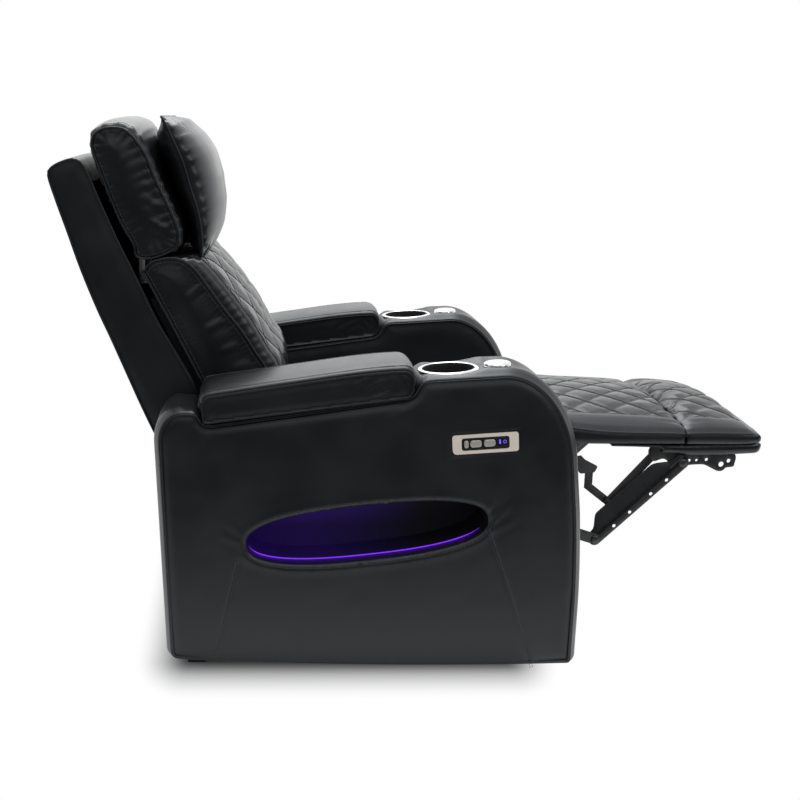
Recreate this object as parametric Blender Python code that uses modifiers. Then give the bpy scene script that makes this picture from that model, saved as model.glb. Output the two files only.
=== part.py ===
"""A power recliner chair: two upholstered arms with a pocket, a bin and a cup holder each, a sprung
seat, a reclining back with a tilting headrest, and a footrest on a steel linkage. It stands with the
footrest out. Metres, +Z up. The sitter faces -Y, so the sitter's right hand is at -X."""

import math

import bmesh
import bpy
from mathutils import Matrix, Vector

MM = 0.001

# Whole chair
FIT = 0.3 * MM
OVERRUN = 5 * MM
SEAT_GAP = 550 * MM
SIDE_ROOM = 10 * MM
SIDES = (("right", -1), ("left", 1))
ROUND_STEPS = 4
WIDE_ROUND_STEPS = 8
WIDE_ROUND = 60 * MM
HANDLE_SHARE = 0.55
ROD_SIDES = 12

# Arms: a closed band between two panels
ARM_FRONT = -431 * MM
ARM_LENGTH = 856.5 * MM
DECK_HEIGHT = 628 * MM
ARM_WIDTH = 165 * MM
OUTER_PANEL = 12 * MM
INNER_PANEL = 12 * MM
PANEL_CROWN = 20 * MM
PANEL_GRID = (12, 10)
CROWN_POWER = 3
BAND_WALL = 14 * MM
# Along the arm and up it, then the reach of the rounding before and after the corner
ARM_CORNER_SHARES = (
    (0.002, 0.048, 0.012, 0.012),
    (0.000, 0.398, 0.140, 0.120),
    (0.049, 1.015, 0.215, 0.155),
    (0.391, 0.982, 0.020, 0.020),
    (0.414, 0.926, 0.011, 0.011),
    (0.890, 0.830, 0.011, 0.011),
    (0.907, 0.873, 0.016, 0.016),
    (1.002, 0.873, 0.058, 0.080),
    (0.970, 0.048, 0.020, 0.020),
)
ARM_FOOT_HEIGHT = 30 * MM
SKID_WIDTH = 60 * MM
SKID_PLATE = 8 * MM
SKID_FOOT = 36 * MM
SKID_START_SHARE = 0.07
SKID_END_SHARE = 0.93

# Pocket in each outer panel, with its tub and light
POCKET_LENGTH = 486 * MM
POCKET_HEIGHT = 115 * MM
POCKET_TILT = math.radians(6.6)
POCKET_POINTS = 32
POCKET_POWER = 2.5
POCKET_ALONG_SHARE = 0.509
POCKET_UP_SHARE = 0.487
POCKET_DEPTH = 92 * MM
POCKET_WALL = 3 * MM
LIGHT_WIDTH = 7 * MM
LIGHT_THICKNESS = 3 * MM
LIGHT_START_SHARE = 18 / 32
LIGHT_END_SHARE = 30 / 32

# Bin under the lid
BIN_START_SHARE = 0.46
BIN_END_SHARE = 0.86
BIN_DEPTH = 125 * MM
BIN_WALL = 2.5 * MM
BIN_FLANGE = 6 * MM
BIN_FLANGE_THICKNESS = 2 * MM
BIN_SIDE_ROOM = 9 * MM

# Cup holder and tray cap on the deck
CUP_ALONG_SHARE = 0.3185
DECK_TILT = math.radians(-3.8)
CUP_RIM_RADIUS = 62.5 * MM
CUP_HOLE_RADIUS = 51.5 * MM
CUP_RIM_HEIGHT = 3.5 * MM
CUP_DEPTH = 78 * MM
CUP_WALL = 1.5 * MM
CUP_TAPER = 4 * MM
CUP_STEPS = 28
CAP_ALONG_SHARE = 0.202
CAP_RADIUS = 28 * MM
CAP_HEIGHT = 8 * MM
CAP_DOME_SHARES = ((0.0, 1.0), (0.6, 0.94), (0.93, 0.75), (1.0, 0.4))
CAP_STEM_RADIUS = 14 * MM
CAP_STEM_LENGTH = 24 * MM
CAP_STEPS = 24

# Lid of the bin
LID_FRONT_SHARE = 0.412
LID_REAR_SHARE = 0.890
LID_GAP = 5 * MM
LID_BOARD = 9 * MM
LID_BOARD_INSET = 10 * MM
LID_PAD = 34 * MM
LID_CROWN = 16 * MM
LID_PAD_SHARES = (
    (0.018, 0.0, 0.0),
    (0.333, 0.0, 0.0),
    (0.667, 0.0, 0.0),
    (0.982, 0.0, 0.0),
    (0.985, 0.4, 0.0),
    (0.979, 0.8, 0.2),
    (0.940, 1.0, 0.7),
    (0.760, 1.0, 1.0),
    (0.500, 1.0, 1.0),
    (0.240, 1.0, 1.0),
    (0.090, 1.0, 1.0),
    (0.030, 0.88, 0.7),
    (0.0, 0.5, 0.2),
)
LID_OVERHANG = 4 * MM
LID_HINGE_UP = 30.5 * MM
LID_HINGE_BACK = 3.5 * MM
LID_BARREL = 3 * MM
LID_LEAF = 2 * MM
LID_LEAF_WIDTH = 110 * MM

# Switch plate in the right arm
PLATE_LENGTH = 132 * MM
PLATE_HEIGHT = 39 * MM
PLATE_THICKNESS = 3.5 * MM
PLATE_TILT = math.radians(4.1)
PLATE_ALONG_SHARE = 0.2425
PLATE_UP_SHARE = 0.783
PLATE_PROUD = 1.5 * MM
PLATE_ROUND = 5 * MM
INSET_LENGTH = 95 * MM
INSET_HEIGHT = 25 * MM
INSET_DEPTH = 22 * MM
KEY_ROOM = 0.6 * MM
KEY_DEPTH = 5 * MM
KEY_WELL = 9 * MM
KEY_PROUD = 1.2 * MM
KEY_HEIGHT = 13.5 * MM
KEY_ROUND = 1.8 * MM
BUTTON_LENGTH = 8 * MM
ROCKER_LENGTH = 23 * MM
BUTTON_ALONG = -38 * MM
ROCKER_ALONG = (-19 * MM, 8.5 * MM)
PORT_LENGTH = 5 * MM
PORT_ALONG = 28 * MM

# Seat
SEAT_FRONT = -385 * MM
SEAT_LENGTH = 525 * MM
SEAT_BASE = 388.5 * MM
SEAT_THICKNESS = 120 * MM
SEAT_CROWN = 8 * MM
# Along, up and fullness
SEAT_SHARES = (
    (0.02, 0.0, 0.0),
    (0.35, 0.0, 0.0),
    (0.70, 0.0, 0.0),
    (0.98, 0.0, 0.0),
    (1.0, 0.26, 0.0),
    (0.99, 0.56, 0.3),
    (0.92, 0.68, 1.0),
    (0.73, 0.74, 1.0),
    (0.50, 0.82, 1.0),
    (0.27, 0.89, 1.0),
    (0.10, 0.90, 1.0),
    (0.02, 0.80, 0.6),
    (0.0, 0.50, 0.2),
    (0.0, 0.18, 0.0),
)
SPRING_ROOM = 4.2 * MM
SPRING_RADIUS = 1.8 * MM
SPRING_RUNS = 5
SPRING_WAVES = 8
SPRING_WAVE = 22 * MM
SPRING_SPREAD_SHARE = 0.9
FRAME_HEIGHT = 38 * MM
FRAME_RAIL = 36 * MM
FRAME_ROOM = 10 * MM
FRAME_INSET = 14 * MM
TIE_WIDTH = 30 * MM
TIE_SHARES = (0.66, 0.90)

# Side plates and cross tubes of the base, each placed from the pivot that it serves
PLATE_X = 252 * MM
SIDE_PLATE = 3 * MM
PLATE_LOW = 62.8 * MM
PLATE_BELOW_SEAT = 11.7 * MM
PLATE_EDGE = 30 * MM
# Along and up from a pivot, in shares of the plate's edge round it
CRANK_EDGE_SHARES = ((0.963133, 0.0), (-1.035367, 0.374667), (-1.035367, -0.881333))
DRIVE_EDGE_SHARES = ((-1.047967, -1.051), (-3.046467, 0.0))
BACK_EDGE_SHARES = (
    (1.806667, 0.0),
    (1.806667, -4.913333),
    (0.950167, 1.157333),
    (-1.048333, 1.157333),
    (-2.333083, 0.0),
)
SIDE_PLATE_ROUND = 12 * MM
ARM_BOLT = 10 * MM
ARM_BOLT_UP = 157 * MM
BOLT_BEHIND_DRIVE = 37.081 * MM
BOLT_BEFORE_BACK = 14.32 * MM
TUBE_RADIUS = 12.5 * MM
CROSS_UP = 180.236 * MM
CROSS_BEHIND_SEAT_FRONT = 255.488 * MM
CROSS_BEHIND_BACK = 90.173 * MM
BORE_ROOM = 0.5 * MM

# Back, in shares of its reach and rise from its pivot
BACK_BEHIND_SEAT = 60 * MM
BACK_ABOVE_SEAT = 41.5 * MM
BACK_PIVOT_Y = SEAT_FRONT + SEAT_LENGTH + BACK_BEHIND_SEAT
BACK_PIVOT_Z = SEAT_BASE + BACK_ABOVE_SEAT
BACK_REACH = 448 * MM
BACK_RISE = 592 * MM
BACK_WALL = 22 * MM
SHELL_SHARES = ((0.429, -0.118), (0.201, -0.051), (0.835, 1.0), (1.016, 0.988))
SHELL_ROUND = 14 * MM
HOLLOW_SHARES = ((0.58, 0.0), (0.18, 0.07), (0.70, 0.94), (1.12, 0.88))
COVER_SHARES = ((0.498, 0.022), (0.482, 0.022), (0.948, 0.898), (0.964, 0.898))
SUPPORT_SHARES = ((0.2975, 0.125), (0.5535, 0.520), (0.5155, 0.530), (0.2495, 0.125))
BRACKET_SHARES = ((-0.05, -0.03), (0.2037, -0.045), (0.2821, 0.085), (0.00, 0.045))
BRACKET_X = 200 * MM
BRACKET_PLATE = 5 * MM
LUMBAR_CROWN = 44 * MM
LUMBAR_SHARES = (
    (0.576, 0.612, 0.0),
    (0.525, 0.632, 0.0),
    (0.431, 0.640, 0.1),
    (0.353, 0.622, 0.55),
    (0.292, 0.571, 0.95),
    (0.217, 0.490, 1.0),
    (0.138, 0.419, 1.0),
    (0.078, 0.346, 1.0),
    (0.031, 0.270, 1.0),
    (0.007, 0.186, 0.95),
    (0.011, 0.118, 0.6),
    (0.075, 0.098, 0.1),
    (0.225, 0.100, 0.0),
    (0.335, 0.270, 0.0),
    (0.455, 0.446, 0.0),
)

# Headrest
HEAD_PIVOT_SHARE = (0.324, 0.672)
HEAD_BARREL = 4 * MM
HEAD_TONGUE = 2.5 * MM
HEAD_BARREL_HALF = 90 * MM
HEAD_ARM_HALF = 75 * MM
HEAD_EAR = 8 * MM
HEAD_ARM_SHARES = ((0.652, 0.692), (0.664, 0.692), (0.784, 0.925), (0.772, 0.925))
HEAD_ROD_ALONG_SHARE = 0.600
HEAD_MOTOR_LENGTH = 100 * MM
HEAD_MOTOR_SIDE = 38 * MM
HEAD_ROD_SIDE = 10 * MM
HEAD_MOUNT = 3 * MM
HEAD_MOUNT_ROOT = 12 * MM
HEAD_MOUNT_STRIP = 30 * MM
HEAD_MOTOR_REST_SHARE = 0.45
BLOCK_HALF = 255 * MM
BLOCK_CROWN = 20 * MM
BLOCK_SHARES = (
    (0.640, 0.712, 0.0),
    (0.683, 0.780, 0.0),
    (0.742, 0.872, 0.0),
    (0.790, 0.963, 0.0),
    (0.840, 1.022, 0.0),
    (0.845, 1.078, 0.3),
    (0.779, 1.098, 0.9),
    (0.708, 1.105, 1.1),
    (0.636, 1.086, 1.0),
    (0.578, 1.024, 0.9),
    (0.538, 0.958, 0.9),
    (0.489, 0.875, 0.9),
    (0.450, 0.799, 0.7),
    (0.432, 0.747, 0.4),
    (0.455, 0.716, 0.1),
    (0.530, 0.704, 0.0),
)
PILLOW_HALF = 240 * MM
PILLOW_CROWN = 36 * MM
PILLOW_SHARES = (
    (0.330, 0.722, 0.0),
    (0.333, 0.802, 1.00),
    (0.366, 0.905, 1.19),
    (0.418, 1.020, 1.00),
    (0.478, 1.120, 0.0),
    (0.470, 1.149, 0.25),
    (0.420, 1.135, 0.7),
    (0.372, 1.064, 1.0),
    (0.330, 0.966, 1.05),
    (0.302, 0.875, 1.1),
    (0.292, 0.790, 1.0),
    (0.303, 0.728, 0.45),
)

# Footrest, in shares of its reach forward and its rise from the centre it swings about
CRANK_BEHIND_SEAT_FRONT = 45.016 * MM
CRANK_BELOW_SEAT = 16.66 * MM
FOOT_REACH = 428 * MM
FOOT_RISE = 270 * MM
FOOT_HALF = 260 * MM
PAD_CROWN = 42 * MM
PAD_SHARES = (
    (0.598, -0.094, 0.0),
    (0.339, -0.094, 0.0),
    (0.105, -0.094, 0.0),
    (0.023, -0.125, 0.0),
    (-0.047, -0.115, 0.0),
    (-0.086, -0.025, 0.1),
    (-0.060, 0.030, 0.5),
    (0.035, 0.022, 0.95),
    (0.175, 0.015, 1.0),
    (0.315, 0.010, 1.0),
    (0.456, 0.002, 0.92),
    (0.540, -0.005, 0.75),
    (0.583, -0.012, 0.38),
    (0.602, -0.045, 0.0),
)
END_CROWN = 37 * MM
END_SHARES = (
    (0.618, -0.118, 0.0),
    (0.620, -0.045, 0.0),
    (0.645, -0.012, 0.42),
    (0.690, -0.005, 0.85),
    (0.759, -0.005, 1.0),
    (0.870, -0.008, 1.0),
    (0.955, -0.030, 0.7),
    (0.992, -0.070, 0.1),
    (0.975, -0.115, 0.0),
    (0.853, -0.124, 0.0),
    (0.713, -0.124, 0.0),
)
BOARD_SHARES = (
    (0.225, -0.144),
    (0.225, -0.0952),
    (0.604, -0.0952),
    (0.604, -0.1252),
    (0.978, -0.1252),
    (0.990, -0.168),
    (0.975, -0.200),
    (0.502, -0.235),
    (0.470, -0.150),
)
LINK_LOW_SHARE = (0.187, -0.956)
LINK_HIGH_SHARE = (0.610, -0.311)
GUIDE_LOW_SHARE = (0.257, -0.667)
GUIDE_HIGH_SHARE = (0.479, -0.259)
CRANK_BEND_SHARES = ((0.100, -0.318), (0.152, -0.400), (0.152, -0.540))
FOOT_BRACKET_SHARES = (
    (0.440, -0.247),
    (0.600, -0.2290),
    (0.880, -0.2082),
    (0.895, -0.330),
    (0.860, -0.352),
    (0.800, -0.385),
    (0.740, -0.350),
    (0.610, -0.365),
    (0.540, -0.330),
    (0.455, -0.300),
)
FOOT_BRACKET_ROUND = 7 * MM
SLOT_SHARES = (((0.680, -0.300), (0.720, -0.297)), ((0.780, -0.300), (0.830, -0.298)))
SLOT_RADIUS = 3.5 * MM
GUSSET_SHARES = ((0.085, -0.285), (0.195, -0.372), (0.180, -0.425), (0.105, -0.435), (0.060, -0.345))
ARM_X = 247 * MM
ARM_LINK = 3 * MM
CHANNEL_X = 235 * MM
CHANNEL_DEPTH = 10 * MM
CHANNEL_WEB = 3 * MM
FOOT_BRACKET_X = 229 * MM
FOOT_BRACKET = 4 * MM
GUIDE_X = 224 * MM
GUIDE_LINK = 4 * MM
CRANK_X = 218 * MM
CRANK_LINK = 4 * MM
LINK_HALF = 12 * MM
CHANNEL_HALF = 14 * MM
CHANNEL_LIP = 3 * MM
GROOVE_SHARES = (0.12, 0.88)
GUIDE_HALF = 9 * MM
CRANK_HALF = 8.5 * MM
PIN_RADIUS = 5 * MM
PIN_ROOM = 0.5 * MM
PIN_PROUD = 0.7 * MM
CHANNEL_HOLE = 4 * MM
CHANNEL_HOLE_SHARES = (0.22, 0.40, 0.62, 0.80)

# The fold between seat and footrest, so placed that the crank's pivot clears the seat
FOLD_Y = SEAT_FRONT + CRANK_BEHIND_SEAT_FRONT + (GUIDE_LOW_SHARE[0] - GUIDE_HIGH_SHARE[0]) * FOOT_REACH
FOLD_Z = SEAT_BASE - CRANK_BELOW_SEAT - (GUIDE_LOW_SHARE[1] - GUIDE_HIGH_SHARE[1]) * FOOT_RISE

# Drives: a motor with a guide tube, and a block that a lever's pin pushes in a slot
GUIDE_TUBE = 30 * MM
MOTOR_WIDTH = 68 * MM
MOTOR_HEIGHT = 72 * MM
MOTOR_LENGTH = 100 * MM
DRIVE_X = 60 * MM
BLOCK_LENGTH = 52 * MM
BLOCK_WIDTH = 44 * MM
BLOCK_WALL = 6 * MM
LEVER_PLATE = 5 * MM
LEVER_HALF = 11 * MM
DRIVE_PIN = 5 * MM
SLOT_ROOM = 2.2 * MM
FOOT_LEVER = 55 * MM
FOOT_SWING = math.radians(88)
FOOT_TUBE_BEFORE = 65.699 * MM
FOOT_TUBE_BEHIND = 268.336 * MM
BACK_LEVER = 160 * MM
BACK_UPRIGHT = math.radians(-12)
BACK_RECLINED = math.radians(24)
BACK_TUBE_BEFORE = 125.665 * MM
BACK_TUBE_BEHIND = 105.59 * MM
HEAD_SWING = math.radians(25)
HEAD_STROKE = 51 * MM
INLET_RADIUS = 8 * MM
INLET_DEPTH = 9 * MM

# Shape of every cushion across its width: place, and how much of the crown it has there
STATION_SHARES = ((0.0, 1.0), (0.38, 0.97), (0.68, 0.84), (0.88, 0.52), (0.975, 0.16), (1.0, -0.10))
PLAIN_STATION_SHARES = ((0.0, 1.0), (0.50, 0.95), (0.84, 0.62), (0.97, 0.18), (1.0, -0.10))
TUFT_LIMIT_SHARE = 0.6
TUFT_DEPTH = 5 * MM

FINISHES = {
    "leather": ((0.012, 0.012, 0.014), 0.38, 0.0),
    "board": ((0.020, 0.020, 0.022), 0.70, 0.0),
    "steel": ((0.025, 0.025, 0.027), 0.40, 0.85),
    "chrome": ((0.78, 0.79, 0.80), 0.12, 1.0),
    "satin metal": ((0.55, 0.50, 0.44), 0.32, 0.9),
    "plastic": ((0.015, 0.015, 0.017), 0.45, 0.0),
    "light": ((0.25, 0.05, 0.95), 0.40, 0.0),
    "key": ((0.42, 0.39, 0.36), 0.40, 0.4),
    "zinc": ((0.45, 0.46, 0.47), 0.35, 0.9),
}

for old in list(bpy.data.objects):
    bpy.data.objects.remove(old)
PARTS = bpy.data.collections.new("power_recliner_chair")
CUTTERS = bpy.data.collections.new("cutters")
for collection in (PARTS, CUTTERS):
    bpy.context.scene.collection.children.link(collection)
ORIGIN = bpy.data.objects.new("chair_origin", None)
PARTS.objects.link(ORIGIN)

ARM_INNER_X = SEAT_GAP / 2
ARM_OUTER_X = ARM_INNER_X + ARM_WIDTH
ARM_MIDDLE_X = ARM_INNER_X + ARM_WIDTH / 2
BAND_INNER_X = ARM_INNER_X + INNER_PANEL + FIT
BAND_OUTER_X = ARM_OUTER_X - OUTER_PANEL - FIT
CUSHION_HALF = ARM_INNER_X - SIDE_ROOM


def arm_at(along, up):
    """A place on the arm's side, from shares of its length, front to rear, and its height."""
    return Vector((ARM_FRONT + along * ARM_LENGTH, up * DECK_HEIGHT))


def back_at(reach, rise):
    return Vector((BACK_PIVOT_Y + reach * BACK_REACH, BACK_PIVOT_Z + rise * BACK_RISE))


def foot_at(reach, rise):
    return Vector((FOLD_Y - reach * FOOT_REACH, FOLD_Z + rise * FOOT_RISE))


def seat_at(along, up):
    return Vector((SEAT_FRONT + along * SEAT_LENGTH, SEAT_BASE + up * SEAT_THICKNESS))


def turned(point, angle):
    """A side-view vector turned about +X."""
    c, s = math.cos(angle), math.sin(angle)
    return Vector((c * point[0] - s * point[1], s * point[0] + c * point[1]))


# Joints' places in the side view
FOLD = Vector((FOLD_Y, FOLD_Z))
LINK_LOW = foot_at(*LINK_LOW_SHARE)
LINK_HIGH = foot_at(*LINK_HIGH_SHARE)
GUIDE_LOW = foot_at(*GUIDE_LOW_SHARE)
GUIDE_HIGH = foot_at(*GUIDE_HIGH_SHARE)
DRIVE_PIVOT = FOLD + LINK_LOW - LINK_HIGH
CRANK_PIVOT = FOLD + GUIDE_LOW - GUIDE_HIGH
BACK_PIVOT = Vector((BACK_PIVOT_Y, BACK_PIVOT_Z))
HEAD_PIVOT = back_at(*HEAD_PIVOT_SHARE)
SEAT_LINE = (arm_at(*ARM_CORNER_SHARES[4][:2]), arm_at(*ARM_CORNER_SHARES[5][:2]))
SEAT_SLOPE = math.atan2(SEAT_LINE[1].y - SEAT_LINE[0].y, SEAT_LINE[1].x - SEAT_LINE[0].x)


def seat_line(along, above=0.0):
    """A point above the sloping line that the lid closes on."""
    y = arm_at(along, 0).x
    z = SEAT_LINE[0].y + (y - SEAT_LINE[0].x) * math.tan(SEAT_SLOPE)
    return Vector((y, z)) + turned((0, above), SEAT_SLOPE)


def deck(along):
    """The height of the deck's straight stretch between the front round and the lid."""
    front, rear = arm_at(*ARM_CORNER_SHARES[2][:2]), arm_at(*ARM_CORNER_SHARES[3][:2])
    y = arm_at(along, 0).x
    return Vector((y, front.y + (y - front.x) * (rear.y - front.y) / (rear.x - front.x)))


LID_HINGE = seat_line(LID_REAR_SHARE, LID_HINGE_UP) + Vector((LID_HINGE_BACK + LID_BARREL, 0))

PIVOTS = {}


def add_pivot(body, point=(0, 0), x=0.0):
    """An empty on the body's joint, which its parts hang from."""
    pivot = bpy.data.objects.new("pivot_" + body, None)
    PARTS.objects.link(pivot)
    pivot.parent = ORIGIN
    pivot.location = (x, point[0], point[1])
    PIVOTS[body] = pivot


def place(obj, body="chair"):
    obj.parent = PIVOTS[body]
    obj.location -= PIVOTS[body].location
    return obj


def make(name, mesh, finish, body="chair", location=(0, 0, 0)):
    """A part from its mesh, with a material of its own."""
    obj = bpy.data.objects.new(name, mesh)
    obj.location = location
    PARTS.objects.link(obj)
    colour, roughness, metallic = FINISHES[finish]
    material = bpy.data.materials.new(name)
    material.use_nodes = True
    shader = material.node_tree.nodes["Principled BSDF"]
    shader.inputs["Base Color"].default_value = (*colour, 1)
    shader.inputs["Roughness"].default_value = roughness
    shader.inputs["Metallic"].default_value = metallic
    material.diffuse_color = (*colour, 1)
    mesh.materials.append(material)
    return place(obj, body)


def combine(target, mesh, operation="DIFFERENCE"):
    """Cuts the mesh from the part, or joins it on. The mesh is in the chair's coordinates."""
    tool = bpy.data.objects.new(target.name + "_tool", mesh)
    CUTTERS.objects.link(tool)
    tool.parent = ORIGIN
    tool.hide_render = True
    tool.display_type = "WIRE"
    step = target.modifiers.new(operation.lower(), "BOOLEAN")
    step.operation = operation
    step.object = tool
    return target


def finished(bm, name="shape"):
    bmesh.ops.recalc_face_normals(bm, faces=bm.faces)
    mesh = bpy.data.meshes.new(name)
    bm.to_mesh(mesh)
    bm.free()
    return mesh


def prism(points, low, high):
    """A side-view outline, given a thickness across the chair from one x to another."""
    low, high = min(low, high), max(low, high)
    curve = bpy.data.curves.new("outline", "CURVE")
    curve.dimensions = "2D"
    curve.fill_mode = "BOTH"
    curve.extrude = (high - low) / 2
    spline = curve.splines.new("POLY")
    spline.points.add(len(points) - 1)
    for corner, (y, z) in zip(spline.points, points):
        corner.co = (y, z, 0, 1)
    spline.use_cyclic_u = True
    flat = bpy.data.objects.new("outline", curve)
    PARTS.objects.link(flat)
    mesh = bpy.data.meshes.new_from_object(flat.evaluated_get(bpy.context.evaluated_depsgraph_get()))
    bpy.data.objects.remove(flat)
    bm = bmesh.new()
    bm.from_mesh(mesh)
    bmesh.ops.remove_doubles(bm, verts=bm.verts, dist=MM / 100)
    side = Matrix(((0, 0, 1), (1, 0, 0), (0, 1, 0))).to_4x4()
    bmesh.ops.transform(bm, verts=bm.verts, matrix=Matrix.Translation(((low + high) / 2, 0, 0)) @ side)
    return finished(bm)


def box(low, high):
    """A box between two corners."""
    bm = bmesh.new()
    bmesh.ops.create_cube(bm, size=1)
    low, high = Vector(low), Vector(high)
    size = [abs(b - a) for a, b in zip(low, high)]
    bmesh.ops.transform(
        bm, verts=bm.verts, matrix=Matrix.Translation((low + high) / 2) @ Matrix.Diagonal((*size, 1))
    )
    return finished(bm)


def rod(point, low, high, radius, sides=ROD_SIDES):
    """A round bar across the chair through a side-view point."""
    bm = bmesh.new()
    bmesh.ops.create_cone(
        bm, cap_ends=True, segments=sides, radius1=radius, radius2=radius, depth=abs(high - low)
    )
    bmesh.ops.transform(
        bm,
        verts=bm.verts,
        matrix=Matrix.Translation(((low + high) / 2, *point)) @ Matrix.Rotation(math.pi / 2, 4, "Y"),
    )
    return finished(bm)


def rounded(corners):
    """A closed outline whose corners (y, z, reach before, reach after) are short cubics."""
    outline = []
    for i, (y, z, before, after) in enumerate(corners):
        here = Vector((y, z))
        start = here + (Vector(corners[i - 1][:2]) - here).normalized() * before
        end = here + (Vector(corners[(i + 1) % len(corners)][:2]) - here).normalized() * after
        steps = WIDE_ROUND_STEPS if max(before, after) > WIDE_ROUND else ROUND_STEPS
        first, second = start.lerp(here, HANDLE_SHARE), end.lerp(here, HANDLE_SHARE)
        for k in range(steps + 1):
            t = k / steps
            ends = start * (1 - t) ** 3 + end * t**3
            outline.append(ends + first * 3 * t * (1 - t) ** 2 + second * 3 * t * t * (1 - t))
    return outline


def inset(corners, distance):
    """The same corners moved inside by a distance, for an outline that runs round one way."""
    turning = sum(
        a[0] * b[1] - b[0] * a[1] for a, b in zip(corners, corners[1:] + corners[:1])
    )
    inward = 1 if turning > 0 else -1
    moved = []
    for i, (y, z, before, after) in enumerate(corners):
        here = Vector((y, z))
        into = (here - Vector(corners[i - 1][:2])).normalized()
        out = (Vector(corners[(i + 1) % len(corners)][:2]) - here).normalized()
        normal_in = Vector((-into.y, into.x)) * inward
        normal_out = Vector((-out.y, out.x)) * inward
        shift = (normal_in + normal_out) * distance / (1 + normal_in.dot(normal_out))
        bend = (into.x * out.y - into.y * out.x) * inward
        change = -distance if bend > 0 else distance
        reach = [max(r + change, distance / 4) if bend else r for r in (before, after)]
        moved.append((*(here + shift), *reach))
    return moved


def same_round(points, radius):
    return rounded([(*point, radius, radius) for point in points])


def strap(route, half):
    """The outline of a flat bar along a route, with round ends."""
    route = [Vector(p) for p in route]
    left, right = [], []
    for i, here in enumerate(route):
        into = (here - route[i - 1]).normalized() if i else None
        out = (route[i + 1] - here).normalized() if i < len(route) - 1 else None
        into, out = into or out, out or into
        normal_in, normal_out = Vector((-into.y, into.x)), Vector((-out.y, out.x))
        side = (normal_in + normal_out) * half / (1 + normal_in.dot(normal_out))
        left.append(here + side)
        right.append(here - side)

    def cap(centre, start):
        steps = ROD_SIDES // 2
        return [centre + turned(start, -math.pi * k / steps) for k in range(1, steps)]

    return left + cap(route[-1], left[-1] - route[-1]) + right[::-1] + cap(route[0], right[0] - route[0])


def turning(name, profile, steps, finish, body, location, tilt):
    """A turned part from its half profile (radius, height), which runs out and down its outer side."""
    bm = bmesh.new()
    points = [bm.verts.new((r, 0, z)) for r, z in profile]
    for a, b in zip(points, points[1:]):
        bm.edges.new((a, b))
    mesh = bpy.data.meshes.new(name)
    bm.to_mesh(mesh)
    bm.free()
    obj = make(name, mesh, finish, body, location)
    obj.rotation_euler.x = tilt
    screw = obj.modifiers.new("turn", "SCREW")
    screw.steps = screw.render_steps = steps
    screw.use_merge_vertices = True
    screw.merge_threshold = MM / 100
    screw.use_smooth_shade = True
    return obj


def cushion(name, outline, half, crown, body, centre=0.0, tufts=()):
    """A soft block: its side-view outline (y, z, fullness) swept across, fuller in the middle.

    tufts lists the outline's points that are sewn down at every other station."""
    points = [Vector(p[:2]) for p in outline]
    full = [p[2] for p in outline]
    area = sum(a.x * b.y - b.x * a.y for a, b in zip(points, points[1:] + points[:1]))
    outward = -1 if area > 0 else 1
    normals = []
    for i, here in enumerate(points):
        along = (points[(i + 1) % len(points)] - points[i - 1]).normalized()
        normals.append(Vector((-along.y, along.x)) * outward)
    shares = STATION_SHARES if tufts else PLAIN_STATION_SHARES
    stations = [(-x, share) for x, share in reversed(shares[1:])] + list(shares)
    bm = bmesh.new()
    rings = []
    for row, (across, share) in enumerate(stations):
        ring = []
        for i, (here, normal) in enumerate(zip(points, normals)):
            out = crown * share * full[i]
            if i in tufts and (row + i) % 2 == 0 and share > TUFT_LIMIT_SHARE:
                out -= TUFT_DEPTH
            spot = here + normal * out
            ring.append(bm.verts.new((centre + across * half, spot.x, spot.y)))
        rings.append(ring)
    for one, two in zip(rings, rings[1:]):
        for i in range(len(points)):
            j = (i + 1) % len(points)
            bm.faces.new((one[i], one[j], two[j], two[i]))
    bm.faces.new(rings[0])
    bm.faces.new(rings[-1])
    obj = make(name, finished(bm, name), "leather", body)
    smooth = obj.modifiers.new("soft", "SUBSURF")
    smooth.levels = smooth.render_levels = 1
    return obj


def panel_bump(y, z):
    """How far the outer panel stands out at a place, none at its edges."""
    low, high = arm_at(0, 0), arm_at(1, 1)
    share = 1.0
    for value, start, end in ((y, low.x, high.x), (z, low.y, high.y)):
        off = min(abs(2 * (value - start) / (end - start) - 1), 1)
        share *= 1 - off**CROWN_POWER
    return PANEL_CROWN * share


def pocket_outline(grow=0.0, start_share=0.0, end_share=1.0):
    """The pocket's long oval, a superellipse, or a stretch of it from the same points."""
    middle = arm_at(POCKET_ALONG_SHARE, POCKET_UP_SHARE)
    first, last = round(start_share * POCKET_POINTS), round(end_share * POCKET_POINTS)
    outline = []
    for k in range(first, last + (last < POCKET_POINTS)):
        angle = math.tau * k / POCKET_POINTS
        c, s = math.cos(angle), math.sin(angle)
        reach = (abs(c) ** POCKET_POWER + abs(s) ** POCKET_POWER) ** (-1 / POCKET_POWER)
        spot = ((POCKET_LENGTH / 2 + grow) * reach * c, (POCKET_HEIGHT / 2 + grow) * reach * s)
        outline.append(middle + turned(spot, -POCKET_TILT))
    return outline


ARM_CORNERS = [
    (*arm_at(y, z), before * ARM_LENGTH, after * ARM_LENGTH) for y, z, before, after in ARM_CORNER_SHARES
]
ARM_OUTLINE = rounded(ARM_CORNERS)


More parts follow.
